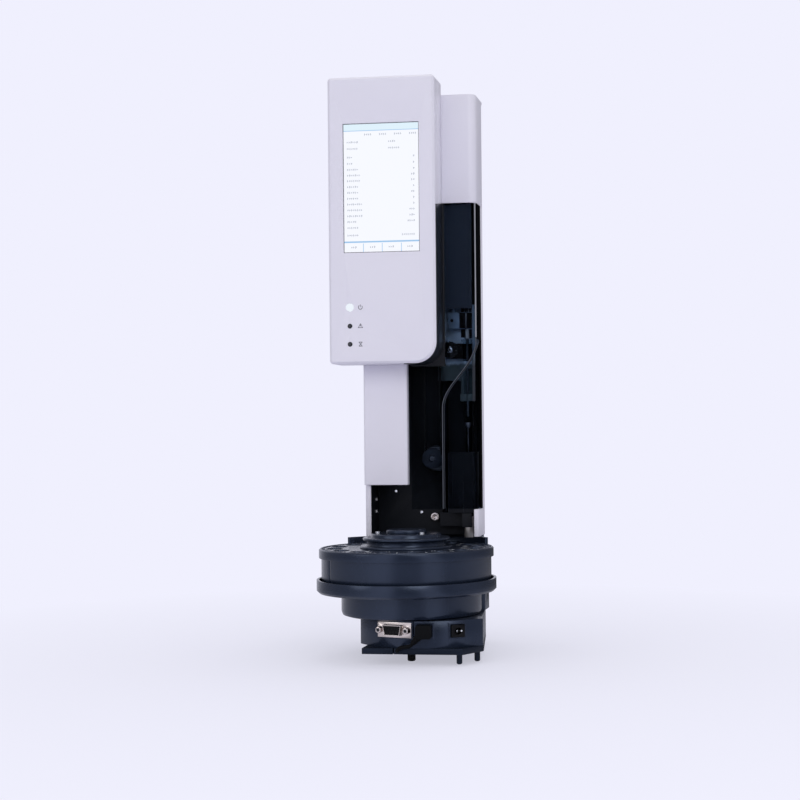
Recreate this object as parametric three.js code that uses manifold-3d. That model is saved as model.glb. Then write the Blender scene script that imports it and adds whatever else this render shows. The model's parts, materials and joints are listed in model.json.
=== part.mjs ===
// Liquid autosampler for a gas chromatograph: a vial turret in its tray, a tower with the
// syringe lift behind a smoked door, and a control head with a touch screen.
// Millimetres, +Z up, the front faces -Y. X and Y are worked out from the turret's axis.
import * as THREE from "three";
import { mergeVertices } from "three/addons/utils/BufferGeometryUtils.js";
import Module from "manifold-3d";

const wasm = await Module();
wasm.setup();

// Driving dimensions
const overrun = 1;
const seatGap = 0.3;
const slideGap = 0.4;
const sheet = 2;
const mergeDistance = 1e-4;
const nearest = 1e-3;
const facetLength = 3.4;
const fewestSides = 12;
const mostSides = 60;
const smallSides = 20;
const hiddenSides = 32;
const hubSides = 36;
const cornerSegments = 3;
const curveSegments = 10;
const wallSegments = 24;
const hiddenSegments = 12;
const foldSegments = 6;
const headSegments = 6;
const hexagon = 6;
const half = (length) => length / 2;

const foot = { height: 8.9, radius: 3.4, pinRadius: 2.4, tipBevel: 0.8 };
foot.places = {
  front: [9.4, -28.3],
  left: [-18, 12],
  rear_left: [-20, 92],
  rear_right: [42, 92],
};
foot.pinPlaces = { outer: [63.6, -25.3], inner: [52, -43.4] };

const tower = {
  left: -40,
  right: 58,
  front: 20,
  shellBack: 54,
  back: 104,
  bottom: 98.6,
  top: 474,
  cornerRadius: 7,
};

const plate = {
  thickness: 4.9,
  left: -26,
  front: -55,
  chamferX: 57,
  chamferY: -31,
  right: 70,
};
plate.bottom = foot.height;
plate.top = plate.bottom + plate.thickness;

const base = {
  wall: 3,
  arcX: 20,
  arcY: 9,
  arcRadius: 64.5,
  left: -33.5,
  right: 69.6,
  waistX: 57,
  waistY: 60,
  rearX: 47.5,
  top: 35.7,
  pedestalGap: 1.4,
  pedestalTop: 97,
  motorHole: 31,
};

const dish = {
  bottom: 54.7,
  lipTop: 65.6,
  lip: 2.1,
  floor: 3,
  drumX: 4,
  drumRadius: 58.7,
  drumWall: 3,
  drumEdge: 4,
  pilotHole: 11.4,
  guardGap: 1,
  guardWall: 2.4,
  guardTop: 96.5,
  guardAngle: 54,
};
dish.floorTop = dish.bottom + dish.floor;

const station = { x: 47, wellRadius: 60, passage: 8, blockWall: 3, blockRight: 62 };
station.y = Math.sqrt(station.wellRadius ** 2 - station.x ** 2);

const turret = {
  bottom: 59,
  rimRadius: 73.2,
  rimReach: 2,
  rimBottom: 83.7,
  top: 91.5,
  deckStep: 0.5,
  deckInset: 1.8,
  edge: 1.2,
  wells: 16,
  wellBore: 6.2,
  wellSides: 12,
  wellFloor: 61.5,
  bore: 8.3,
  hollowInner: 20,
  hollowOuter: 48,
  hollowTop: 84,
  grooveWidth: 1.2,
  grooveDepth: 0.8,
  grooveAngle: -50,
};
turret.deck = turret.top - turret.deckStep;
turret.bodyRadius = turret.rimRadius - turret.rimReach;
turret.deckRadius = turret.rimRadius - turret.deckInset;
dish.radius = turret.rimRadius + dish.lip;
dish.guardInner = turret.rimRadius + dish.guardGap;
base.pedestalFront = dish.guardInner + dish.guardWall + base.pedestalGap;

const hub = {
  neckRadius: 33.4,
  skirtRadius: 39,
  flangeRadius: 36.7,
  ledgeRadius: 29.5,
  skirtTop: 93.2,
  neckTop: 97,
  flangeTop: 100,
  top: 103,
  bevel: 0.8,
  capRadius: 17,
  capTop: 106.4,
  capBevel: 1,
};

const turretDrive = {
  motorSide: 42.3,
  motorHeight: 22,
  motorBevel: 4,
  pilotRadius: 11,
  shaftRadius: 2.5,
  shaftBottom: 40,
  boreRadius: 2.9,
  bearingInner: 12,
  bearingOuter: 17,
  spindleTop: 90,
  spindleRadius: 8,
};

const dataSocket = {
  angle: -16.9,
  z: 28.6,
  flangeWidth: 30.8,
  flangeHeight: 12.5,
  flange: 0.8,
  noseWidth: 16.9,
  noseHeight: 8.4,
  noseTaper: 1.4,
  nose: 5,
  noseWall: 0.6,
  screwSpacing: 25,
  screwRadius: 2.7,
  screwLength: 4.8,
  depth: 4,
};
const powerSocket = {
  angle: 29,
  z: 27.5,
  width: 12,
  height: 10.5,
  proud: 2.4,
  depth: 6,
  bore: 2.9,
  pin: 1,
  pinLength: 6,
};
const pad = { proud: 0.5, depth: 4, rim: 0.8 };

const lead = {
  angle: 5,
  z: 28,
  bodyWidth: 13,
  bodyHeight: 11,
  bodyDepth: 9,
  bodyRadius: 2,
  plugIn: 3,
  plugInset: 3,
  bootWide: 3.6,
  bootNarrow: 2.1,
  bootLength: 9,
  bootTilt: 48,
  cableRadius: 1.5,
  cableSegments: 4,
  cableStep: 4,
  straight: 2.2,
  notchWidth: 8,
  notchDepth: 16,
};
// The lead's way from the front into the base, measured from the middle of the notch's mouth.
lead.run = [
  [3.4, -5, 6.1],
  [0.2, -2.6, 3.5],
  [-0.4, 3, 2.5],
  [-0.2, 9, 3.7],
  [0.4, 14, 7.7],
  [1.4, 20, 11.6],
];

const carriage = {
  left: 20.2,
  right: 51.5,
  stepX: 40,
  webFront: 43.6,
  web: 2.4,
  lugBack: 53.4,
  lugRight: 50.2,
  lugHeight: 12,
  holderBottom: 214,
  lugRise: 18,
  armRise: 28,
  shoulderRise: 54,
  mastRise: 138,
  mastLeft: 26,
  mastRight: 44,
  armLeft: 41,
  armFront: 33,
  armHeight: 6,
  peepHole: 1.6,
  peepX: 30,
  peepRise: 70,
};
carriage.lugBottom = carriage.holderBottom + carriage.lugRise;
carriage.armUpper = carriage.holderBottom + carriage.armRise;
carriage.shoulder = carriage.holderBottom + carriage.shoulderRise;
carriage.mastTop = carriage.holderBottom + carriage.mastRise;
carriage.peepZ = carriage.holderBottom + carriage.peepRise;
const rods = {
  leftX: 24.5,
  rightX: 46,
  y: 49.6,
  radius: 3,
  bottom: 108,
  blockBottom: 106,
  blockHeight: 12,
  blockLeft: 20,
  blockRight: 50.2,
  blockFront: 45.4,
  armLeft: 42,
  cap: 1.5,
  topGap: 22,
};
rods.top = tower.top - rods.topGap;
const belt = {
  x: 16,
  lowerZ: 165,
  upperDrop: 22,
  front: 35.5,
  width: 6,
  pitchRadius: 6.37,
  inner: 0.5,
  outer: 0.9,
  pulleyFlange: 8.7,
  flange: 1.2,
  hubRadius: 4.5,
  axle: 2.5,
  axleBore: 2.8,
  teeth: 20,
  toothDepth: 0.7,
};
belt.pulleyRadius = belt.pitchRadius - belt.inner - seatGap;
belt.upperZ = rods.top - belt.upperDrop;

const syringe = {
  barrelRadius: 4,
  barrelDrop: 18,
  barrelLength: 71,
  flangeRadius: 5.2,
  flange: 2,
  bore: 1.4,
  hubRadius: 2.6,
  hubLength: 5,
  needleRadius: 0.5,
  needleLength: 51,
  plungerRadius: 1,
  plungerRise: 18,
  buttonRadius: 4,
  button: 2.5,
};
syringe.barrelBottom = carriage.holderBottom - syringe.barrelDrop;
syringe.barrelTop = syringe.barrelBottom + syringe.barrelLength - syringe.flange;
syringe.needleTip = syringe.barrelBottom - syringe.needleLength;
syringe.plungerTop = syringe.barrelTop + syringe.plungerRise;

const driver = {
  buttonRise: 7,
  height: 14,
  left: 31,
  right: 52,
  front: 33.5,
  back: 43.2,
  shaftX: 36,
  shaftY: 36,
  shaftRadius: 2,
  shaftRise: 40,
  motorWidth: 20,
  motorFront: 28,
  motorBack: 45,
  motorHeight: 28,
};
driver.bottom = syringe.plungerTop - driver.buttonRise;
driver.shaftTop = carriage.mastTop + driver.shaftRise;

const knob = {
  x: 32.5,
  rise: 1,
  radius: 7,
  front: 31.4,
  head: 5,
  stem: 2.2,
  flutes: 16,
  flute: 0.8,
  fluteSides: 6,
};
const clampBar = { rise: 8.5, right: 51.5, height: 13, front: 36.8 };
clampBar.bottom = carriage.armUpper + clampBar.rise;
knob.z = clampBar.bottom + half(clampBar.height) + knob.rise;
const beltClamp = { right: 29, height: 13, front: 33.6, left: 19.4 };
beltClamp.bottom = clampBar.bottom + half(clampBar.height);
const needleGuide = { radius: 4, bottom: 97, top: 111.5, bore: 1.2, funnel: 3, funnelDepth: 4 };
const shroud = { left: 30, right: 54.4, front: 30.6, top: 170.5, wall: 1.6, back: 43, chamfer: 2.5 };
shroud.bottom = rods.blockBottom + rods.blockHeight + seatGap;

const door = {
  left: 0.7,
  upperLeft: 31,
  bottom: 122,
  topDrop: 92.2,
  headStep: 243.3,
  wall: 2,
  recess: 8,
  ridgeX: 27.8,
  ridgeLow: 207,
  ridgeHigh: 264,
  ridgeBendX: 52,
  ridgeBendLow: 228,
  ridgeBendHigh: 238,
  sideBack: 52,
  pivotInset: 3.4,
  pivotY: 51.2,
  knuckle: 3,
  knuckleHeight: 12,
  pinRadius: 1.3,
  pinBore: 1.6,
  pinReach: 9,
};
door.top = tower.top - door.topDrop;
door.pivotX = tower.right - door.pivotInset;

const leftCover = {
  right: -1.9,
  bottom: 142.9,
  top: 258,
  front: 16,
  bevel: 1.6,
  rim: 1.8,
};
const sideCover = { wall: 2, lip: 5, footWidth: 3.6, footDepth: 8, footRadius: 2 };
const fascia = { right: 30.5, thickness: 2, bottom: 243.6 };
const mask = { left: 21.1, right: 53, height: 89, front: 26, wall: 1.5, flangeDepth: 27.6 };
mask.bottom = door.top - mask.height;
const chassis = {
  plate: 3,
  right: 50,
  earRight: 56,
  left: -37.6,
  sideFront: 24,
  sideSheet: 1.6,
};
chassis.front = tower.shellBack + seatGap;
chassis.back = chassis.front + chassis.plate;
const bracket = { floor: 3.7, flange: 3, rise: 44, gusset: 3, gussetRise: 36, left: -34 };
bracket.bottom = base.pedestalTop + seatGap;
const rearCover = {
  left: -38,
  right: 45.5,
  corner: 5,
  slots: 9,
  slotWidth: 40,
  slotHeight: 2.4,
  slotPitch: 7,
  slotDrop: 84,
};
rearCover.slotBottom = tower.top - rearCover.slotDrop;
bracket.right = rearCover.right - sheet - slideGap;

const lockScrew = { x: 15, z: 114, radius: 3.6, head: 6, socket: 2 };

const motor = { side: 42.3, depth: 34, bevel: 4, shaft: 2.5, pilot: 11, pilotDepth: 2 };

const head = {
  left: -61.9,
  right: 29,
  bottom: 245.3,
  top: 485.2,
  front: -12,
  split: 2,
  corner: 3,
  bigCorner: 18,
  wall: 2.4,
  bevel: 2,
};
head.back = tower.front - seatGap;
const screen = {
  width: 64.8,
  height: 108,
  topMargin: 39,
  recess: 1,
  moduleRim: 4,
  moduleDepth: 6,
  board: 1.6,
  boardWidth: 80,
  boardHeight: 150,
  chip: 14,
  chipHeight: 2,
};
screen.top = head.top - screen.topMargin;
screen.middleX = half(head.left + head.right);
const lamp = {
  inset: 17.9,
  powerZ: 292.5,
  warningZ: 276.9,
  waitingZ: 261.7,
  powerRadius: 3.4,
  radius: 1.5,
  proud: 0.4,
  depth: 6,
};
lamp.x = head.left + lamp.inset;
const headBracket = { left: -32, right: -4, topDrop: 5.8, height: 110, reach: 12 };
headBracket.top = door.top - headBracket.topDrop;
headBracket.bottom = headBracket.top - headBracket.height;

// Colours
function paint(color, roughness, metalness = 0) {
  return () => new THREE.MeshStandardMaterial({ color, roughness, metalness });
}
const whiteShell = paint(0xd8d6e3, 0.5);
const darkMoulding = paint(0x2a303e, 0.45);
const blackSheet = paint(0x101214, 0.5, 0.3);
const blackRubber = paint(0x141416, 0.85);
const steel = paint(0xb9bcc2, 0.3, 1);
const chrome = paint(0xe0e2e6, 0.12, 1);
const nickel = paint(0xd6d2d0, 0.3, 1);
const blueGrey = paint(0x5a6e80, 0.45, 0.5);
const alloy = paint(0x9aa0a8, 0.4, 0.8);
const boardGreen = paint(0x1f5a3a, 0.6);
const screenWhite = paint(0xeef3fb, 0.2);
const lampWhite = paint(0xf4f8ff, 0.3);
const lampDark = paint(0x2a2c34, 0.3);
function smoked() {
  const material = new THREE.MeshStandardMaterial({ color: 0x161e26, roughness: 0.08 });
  material.transparent = true;
  material.opacity = 0.6;
  return material;
}
function clearGlass() {
  const material = new THREE.MeshStandardMaterial({ color: 0xdfe8ee, roughness: 0.05 });
  material.transparent = true;
  material.opacity = 0.4;
  return material;
}

// Solids
function solid(geometry) {
  const plain = geometry.clone();
  plain.deleteAttribute("normal");
  plain.deleteAttribute("uv");
  const merged = mergeVertices(plain, mergeDistance);
  const mesh = new wasm.Mesh({
    numProp: 3,
    vertProperties: merged.attributes.position.array,
    triVerts: new Uint32Array(merged.index.array),
  });
  return new wasm.Manifold(mesh);
}

function geometryOf(piece) {
  const mesh = piece.getMesh();
  const geometry = new THREE.BufferGeometry();
  geometry.setAttribute("position", new THREE.BufferAttribute(mesh.vertProperties, 3));
  geometry.setIndex(new THREE.BufferAttribute(mesh.triVerts, 1));
  const faceted = geometry.toNonIndexed();
  faceted.computeVertexNormals();
  return faceted;
}

const join = (pieces) => pieces.reduce((whole, piece) => whole.add(piece));
const cut = (whole, cutters) => cutters.reduce((rest, cutter) => rest.subtract(cutter), whole);

function sidesOf(radius) {
  const round = Math.round((2 * Math.PI * radius) / facetLength / 4) * 4;
  return Math.min(mostSides, Math.max(fewestSides, round));
}

function block([x0, x1], [y0, y1], [z0, z1]) {
  const box = new THREE.BoxGeometry(x1 - x0, y1 - y0, z1 - z0);
  return solid(box.translate(half(x0 + x1), half(y0 + y1), half(z0 + z1)));
}

// A rod along one axis: at holds its centre on the other two axes, in X, Y, Z order.
function rod(axis, radius, [from, to], at, sides = sidesOf(radius), tipRadius = radius) {
  const cylinder = new THREE.CylinderGeometry(tipRadius, radius, to - from, sides);
  const middle = half(from + to);
  if (axis === "z") return solid(cylinder.rotateX(Math.PI / 2).translate(at[0], at[1], middle));
  if (axis === "y") return solid(cylinder.translate(at[0], middle, at[1]));
  return solid(cylinder.rotateZ(-Math.PI / 2).translate(middle, at[0], at[1]));
}

function prism(shape, [from, to], segments = curveSegments) {
  const options = { depth: to - from, bevelEnabled: false, curveSegments: segments };
  return solid(new THREE.ExtrudeGeometry(shape, options).translate(0, 0, from));
}

// A shape drawn in X and Z, extruded along Y.
function upright(shape, [from, to], segments = curveSegments) {
  const options = { depth: to - from, bevelEnabled: false, curveSegments: segments };
  const geometry = new THREE.ExtrudeGeometry(shape, options).rotateX(Math.PI / 2);
  return solid(geometry.translate(0, to, 0));
}

// A closed profile of [radius, height] points turned about a vertical axis.
function turned(profile, [x, y], sides) {
  const points = profile.map(([radius, height]) => new THREE.Vector2(radius, height));
  if (THREE.ShapeUtils.area(points) < 0) points.reverse();
  points.push(points[0].clone());
  const widest = Math.max(...profile.map(([radius]) => radius));
  const lathe = new THREE.LatheGeometry(points, sides ?? sidesOf(widest));
  return solid(lathe.rotateX(Math.PI / 2).translate(x, y, 0));
}

function polygon(points) {
  return new THREE.Shape(points.map(([x, y]) => new THREE.Vector2(x, y)));
}

// A rectangle with its own radius at each corner, from the lower left one counterclockwise.
function roundedRectangle([x0, x1], [y0, y1], [a, b, c, d]) {
  const shape = new THREE.Shape();
  shape.moveTo(x0 + a, y0);
  shape.lineTo(x1 - b, y0);
  shape.absarc(x1 - b, y0 + b, b, -Math.PI / 2, 0);
  shape.lineTo(x1, y1 - c);
  shape.absarc(x1 - c, y1 - c, c, 0, Math.PI / 2);
  shape.lineTo(x0 + d, y1);
  shape.absarc(x0 + d, y1 - d, d, Math.PI / 2, Math.PI);
  shape.lineTo(x0, y0 + a);
  shape.absarc(x0 + a, y0 + a, a, Math.PI, 1.5 * Math.PI);
  return shape;
}

const radians = THREE.MathUtils.degToRad;
const model = new THREE.Group();

function add(name, piece, material, parent = model) {
  const mesh = new THREE.Mesh(geometryOf(piece), material());
  mesh.name = name;
  parent.add(mesh);
  return mesh;
}

// Feet and base plate
function rubberFoot(place) {
  const sleeve = rod("z", foot.radius, [foot.tipBevel, foot.height], place);
  const tipRadius = foot.radius - foot.tipBevel;
  const tip = rod("z", tipRadius, [0, foot.tipBevel], place, sidesOf(foot.radius), foot.radius);
  return sleeve.add(tip);
}

// The pins are pressed into the plate's front right corner.
function locatingPins() {
  const pins = Object.values(foot.pinPlaces).map((place) => {
    const tipRadius = foot.pinRadius - foot.tipBevel;
    const tip = rod("z", tipRadius, [0, foot.tipBevel], place, fewestSides, foot.pinRadius);
    return tip.add(rod("z", foot.pinRadius, [foot.tipBevel, foot.height], place));
  });
  return join(pins);
}

const passage = ([from, to]) => rod("z", station.passage, [from, to], [station.x, station.y]);

// The lead's notch runs back from the plate's front edge.
const leadWallX = base.arcX + base.arcRadius * Math.sin(radians(lead.angle));
const leadEntryX = leadWallX - lead.bodyWidth - lead.bootLength;
function basePlate() {
  const outline = polygon([
    [plate.left, plate.front],
    [plate.chamferX, plate.front],
    [plate.right, plate.chamferY],
    [base.waistX, base.waistY],
    [base.rearX, tower.back],
    [plate.left, tower.back],
  ]);
  const span = [plate.bottom, plate.top];
  const notch = block(
    [leadEntryX - half(lead.notchWidth), leadEntryX + half(lead.notchWidth)],
    [plate.front - overrun, plate.front + lead.notchDepth],
    [plate.bottom - overrun, plate.top + overrun],
  );
  const sheetPiece = prism(outline, span).add(locatingPins());
  return cut(sheetPiece, [notch, passage([plate.bottom - overrun, plate.top + overrun])]);
}

// Base housing: a moulded block, open below, with the pedestal that carries the tower.
function baseOutline(inset) {
  const radius = base.arcRadius - inset;
  const left = base.left + inset;
  const right = base.right - inset;
  const leftAngle = Math.PI + Math.acos((base.arcX - left) / radius);
  const rightAngle = 2 * Math.PI - Math.acos((right - base.arcX) / radius);
  const shape = new THREE.Shape();
  shape.absarc(base.arcX, base.arcY, radius, leftAngle, rightAngle);
  shape.lineTo(base.waistX - inset, base.waistY);
  shape.lineTo(base.rearX - inset, tower.back - inset);
  shape.lineTo(left, tower.back - inset);
  return shape;
}

// Places a piece, drawn as if the wall faced -Y at the origin, on the curved front wall.
function onWall(piece, angle) {
  const turn = radians(angle);
  const x = base.arcX + base.arcRadius * Math.sin(turn);
  const y = base.arcY - base.arcRadius * Math.cos(turn);
  return piece.rotate([0, 0, angle]).translate([x, y, 0]);
}

function wallPad(width, height, z, angle) {
  const wide = half(width) + pad.rim;
  const high = half(height) + pad.rim;
  return onWall(block([-wide, wide], [-pad.proud, pad.depth], [z - high, z + high]), angle);
}

function wallHole(width, height, z, angle) {
  const hole = block(
    [-half(width), half(width)],
    [-pad.proud - overrun, pad.depth + overrun],
    [z - half(height), z + half(height)],
  );
  return onWall(hole, angle);
}

function baseHousing() {
  const outer = prism(baseOutline(0), [plate.top, base.top], wallSegments);
  const column = prism(baseOutline(0), [plate.top, base.pedestalTop], wallSegments);
  const behind = [base.pedestalFront, tower.back + overrun];
  const wide = [base.left - overrun, base.right + overrun];
  const pedestal = column.intersect(block(wide, behind, [plate.top, base.pedestalTop]));
  const hollow = prism(baseOutline(base.wall), [plate.top - overrun, base.top - base.wall], hiddenSegments);
  const tallHollow = prism(
    baseOutline(base.wall),
    [plate.top - overrun, base.pedestalTop - base.wall],
    hiddenSegments,
  );
  const behindWall = [base.pedestalFront + base.wall, tower.back + overrun];
  const columnHollow = tallHollow.intersect(block(wide, behindWall, [0, base.pedestalTop]));
  const pads = [
    wallPad(dataSocket.flangeWidth, dataSocket.flangeHeight, dataSocket.z, dataSocket.angle),
    wallPad(powerSocket.width, powerSocket.height, powerSocket.z, powerSocket.angle),
    wallPad(lead.bodyWidth, lead.bodyHeight, lead.z, lead.angle),
  ];
  const sockets = [
    wallHole(dataSocket.noseWidth, dataSocket.noseHeight, dataSocket.z, dataSocket.angle),
    wallHole(powerSocket.width, powerSocket.height, powerSocket.z, powerSocket.angle),
    wallHole(lead.bodyWidth - lead.plugInset, lead.bodyHeight - lead.plugInset, lead.z, lead.angle),
  ];
  const motorHole = rod("z", base.motorHole, [base.top - base.wall - overrun, base.top + overrun], [0, 0]);
  const needleWay = passage([base.top - base.wall - overrun, base.top + overrun]);
  const walls = cut(outer.add(pedestal), [hollow, columnHollow, motorHole, needleWay]);
  return cut(join([walls, ...pads]), sockets);
}

// Sockets and lead on the front wall
function dShape(grow) {
  const wide = half(dataSocket.noseWidth) + grow;
  const high = half(dataSocket.noseHeight) + grow;
  return polygon([
    [-wide + dataSocket.noseTaper, dataSocket.z - high],
    [wide - dataSocket.noseTaper, dataSocket.z - high],
    [wide, dataSocket.z + high],
    [-wide, dataSocket.z + high],
  ]);
}

function jackscrews() {
  const back = -pad.proud - dataSocket.flange;
  const span = [back - dataSocket.screwLength, back];
  return join(
    [-1, 1].map((side) => {
      const place = [side * half(dataSocket.screwSpacing), dataSocket.z];
      return rod("y", dataSocket.screwRadius, span, place, hexagon);
    }),
  );
}

function dataSocketShell() {
  const back = -pad.proud;
  const front = back - dataSocket.flange;
  const wide = half(dataSocket.flangeWidth);
  const high = half(dataSocket.flangeHeight);
  const flange = block([-wide, wide], [front, back], [dataSocket.z - high, dataSocket.z + high]);
  const nose = upright(dShape(0), [front - dataSocket.nose, front]);
  const bore = upright(dShape(-dataSocket.noseWall), [front - dataSocket.nose - overrun, back + overrun]);
  return onWall(cut(flange.add(nose), [bore]).add(jackscrews()), dataSocket.angle);
}

function dataSocketInsert() {
  const front = -pad.proud - dataSocket.flange - dataSocket.nose + dataSocket.noseWall;
  const body = upright(dShape(-dataSocket.noseWall - seatGap), [front, dataSocket.depth]);
  return onWall(body, dataSocket.angle);
}

function powerSocketBody() {
  const wide = half(powerSocket.width) - seatGap;
  const high = half(powerSocket.height) - seatGap;
  const body = block(
    [-wide, wide],
    [-powerSocket.proud, powerSocket.depth],
    [powerSocket.z - high, powerSocket.z + high],
  );
  const boreBack = powerSocket.depth - base.wall;
  const bore = rod("y", powerSocket.bore, [-powerSocket.proud - overrun, boreBack], [0, powerSocket.z]);
  const pinSpan = [boreBack - powerSocket.pinLength, boreBack];
  const pin = rod("y", powerSocket.pin, pinSpan, [0, powerSocket.z]);
  return onWall(cut(body, [bore]).add(pin), powerSocket.angle);
}

function leadPlug() {
  const wide = half(lead.bodyWidth);
  const high = half(lead.bodyHeight);
  const radius = lead.bodyRadius;
  const corners = [radius, radius, radius, radius];
  const outline = roundedRectangle([-wide, wide], [lead.z - high, lead.z + high], corners);
  const body = upright(outline, [-pad.proud - lead.bodyDepth, -pad.proud], cornerSegments);
  const inWide = wide - half(lead.plugInset) - seatGap;
  const inHigh = high - half(lead.plugInset) - seatGap;
  const nose = block([-inWide, inWide], [-pad.proud, lead.plugIn], [lead.z - inHigh, lead.z + inHigh]);
  const tilt = lead.bootTilt;
  const boot = rod("z", lead.bootWide, [0, lead.bootLength], [0, 0], fewestSides, lead.bootNarrow)
    .rotate([0, -90 - tilt, 0])
    .translate([-wide + lead.bootWide, -pad.proud - half(lead.bodyDepth), lead.z - half(high)]);
  return onWall(join([body, nose, boot]), lead.angle);
}

// The lead leaves the boot's tip, dips in front of the plate and runs back through the notch.
function leadRoute() {
  const tilt = radians(lead.bootTilt);
  const reach = lead.bootLength + seatGap;
  const wide = half(lead.bodyWidth);
  const startX = -wide + lead.bootWide - reach * Math.cos(tilt);
  const startZ = lead.z - half(half(lead.bodyHeight)) - reach * Math.sin(tilt);
  const turn = radians(lead.angle);
  const depth = -pad.proud - half(lead.bodyDepth);
  const wallX = base.arcX + base.arcRadius * Math.sin(turn);
  const wallY = base.arcY - base.arcRadius * Math.cos(turn);
  const x = wallX + startX * Math.cos(turn) - depth * Math.sin(turn);
  const y = wallY + startX * Math.sin(turn) + depth * Math.cos(turn);
  const outX = -Math.cos(tilt) * Math.cos(turn);
  const outY = -Math.cos(tilt) * Math.sin(turn);
  const straight = lead.straight;
  const run = lead.run.map(([side, inward, rise]) => [
    leadEntryX + side,
    plate.front + inward,
    plate.bottom + rise,
  ]);
  const points = [
    [x, y, startZ],
    [x + straight * outX, y + straight * outY, startZ - straight * Math.sin(tilt)],
    ...run,
  ];
  return new THREE.CatmullRomCurve3(points.map((point) => new THREE.Vector3(...point)));
}

function jumperLead() {
  const route = leadRoute();
  const section = new THREE.Shape().absarc(0, 0, lead.cableRadius, 0, 2 * Math.PI);
  const steps = Math.round(route.getLength() / lead.cableStep);
  const options = { steps, extrudePath: route, curveSegments: lead.cableSegments, bevelEnabled: false };
  return solid(new THREE.ExtrudeGeometry(section, options));
}

// Tray: the stepped drum, the dish round the turret and the guard behind it.
function trayHousing() {
  const drumFoot = dish.drumRadius - dish.drumEdge;
  const drum = turned(
    [
      [0, base.top],
      [drumFoot, base.top],
      [dish.drumRadius - half(half(dish.drumEdge)), base.top + half(half(dish.drumEdge))],
      [dish.drumRadius, base.top + dish.drumEdge],
      [dish.drumRadius, dish.bottom + half(dish.floor)],
      [0, dish.bottom + half(dish.floor)],
    ],
    [dish.drumX, 0],
  );
  const drumHollow = rod(
    "z",
    drumFoot - dish.drumWall,
    [base.top - overrun, dish.bottom],
    [dish.drumX, 0],
    hiddenSides,
  );
  const dishBody = turned(
    [
      [0, dish.bottom],
      [dish.radius - dish.lip, dish.bottom],
      [dish.radius, dish.bottom + dish.lip],
      [dish.radius, dish.lipTop],
      [dish.radius - dish.lip, dish.lipTop],
      [dish.radius - dish.lip, dish.floorTop],
      [0, dish.floorTop],
    ],
    [0, 0],
  );
  const span = radians(dish.guardAngle);
  const guardShape = new THREE.Shape();
  const guardOuter = dish.guardInner + dish.guardWall;
  guardShape.absarc(0, 0, guardOuter, Math.PI / 2 - span, Math.PI / 2 + span);
  guardShape.absarc(0, 0, dish.guardInner, Math.PI / 2 + span, Math.PI / 2 - span, true);
  const guard = prism(guardShape, [dish.floorTop, dish.guardTop], hiddenSegments);
  const guardFoot = prism(guardShape, [dish.bottom + dish.lip, dish.lipTop], hiddenSegments);
  const hollowed = cut(drum.add(dishBody), [
    drumHollow,
    rod("z", dish.pilotHole, [dish.bottom - overrun, dish.floorTop + overrun], [0, 0]),
  ]);
  const reach = station.passage + station.blockWall;
  const passageBlock = block(
    [station.x - reach, station.blockRight],
    [station.y - reach, station.y + reach],
    [base.top, dish.floorTop],
  );
  const needleWay = passage([base.top - overrun, dish.floorTop + overrun]);
  const shell = hollowed.add(passageBlock).subtract(needleWay);
  return join([shell, guard, guardFoot]);
}

// Turret and its drive
function wellPlaces() {
  const first = Math.atan2(station.y, station.x);
  return Array.from({ length: turret.wells }, (_, index) => {
    const angle = first + (2 * Math.PI * index) / turret.wells;
    return [station.wellRadius * Math.cos(angle), station.wellRadius * Math.sin(angle)];
  });
}

function turretCarousel() {
  const body = turned(
    [
      [turret.bore, turret.bottom],
      [turret.bodyRadius, turret.bottom],
      [turret.bodyRadius, turret.rimBottom],
      [turret.rimRadius, turret.rimBottom],
      [turret.rimRadius, turret.top - turret.edge],
      [turret.rimRadius - turret.edge, turret.top],
      [turret.deckRadius, turret.top],
      [turret.deckRadius - turret.deckStep, turret.deck],
      [turret.bore, turret.deck],
    ],
    [0, 0],
  );
  const hollow = turned(
    [
      [turret.hollowInner, turret.bottom - overrun],
      [turret.hollowOuter, turret.bottom - overrun],
      [turret.hollowOuter, turret.hollowTop],
      [turret.hollowInner, turret.hollowTop],
    ],
    [0, 0],
    hiddenSides,
  );
  const wells = wellPlaces().map((place, index) => {
    const floor = index === 0 ? turret.bottom - overrun : turret.wellFloor;
    return rod("z", turret.wellBore, [floor, turret.top + overrun], place, turret.wellSides);
  });
  const groove = block(
    [-half(turret.grooveWidth), half(turret.grooveWidth)],
    [-turret.bodyRadius - overrun, -turret.bodyRadius + turret.grooveDepth],
    [turret.bottom - overrun, turret.rimBottom],
  ).rotate([0, 0, turret.grooveAngle]);
  return cut(body, [hollow, ...wells, groove]);
}

function turretMotor() {
  const wide = half(turretDrive.motorSide);
  const bevel = turretDrive.motorBevel;
  const outline = roundedRectangle([-wide, wide], [-wide, wide], [bevel, bevel, bevel, bevel]);
  const top = dish.bottom;
  const can = prism(outline, [top - turretDrive.motorHeight, top], cornerSegments);
  const pilot = rod("z", turretDrive.pilotRadius, [top, dish.floorTop - seatGap], [0, 0]);
  const boreSpan = [turretDrive.shaftBottom - seatGap, top + dish.floor];
  const bore = rod("z", turretDrive.boreRadius, boreSpan, [0, 0]);
  return cut(can.add(pilot), [bore]);
}

function turretBearing() {
  return turned(
    [
      [turretDrive.bearingInner, dish.floorTop],
      [turretDrive.bearingOuter, dish.floorTop],
      [turretDrive.bearingOuter, turret.bottom - seatGap],
      [turretDrive.bearingInner, turret.bottom - seatGap],
    ],
    [0, 0],
    smallSides,
  );
}

function turretSpindle() {
  const shaftTop = dish.floorTop + seatGap;
  return turned(
    [
      [0, turretDrive.shaftBottom],
      [turretDrive.shaftRadius, turretDrive.shaftBottom],
      [turretDrive.shaftRadius, shaftTop],
      [turretDrive.spindleRadius, shaftTop],
      [turretDrive.spindleRadius, turretDrive.spindleTop],
      [0, turretDrive.spindleTop],
    ],
    [0, 0],
    smallSides,
  );
}

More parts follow.
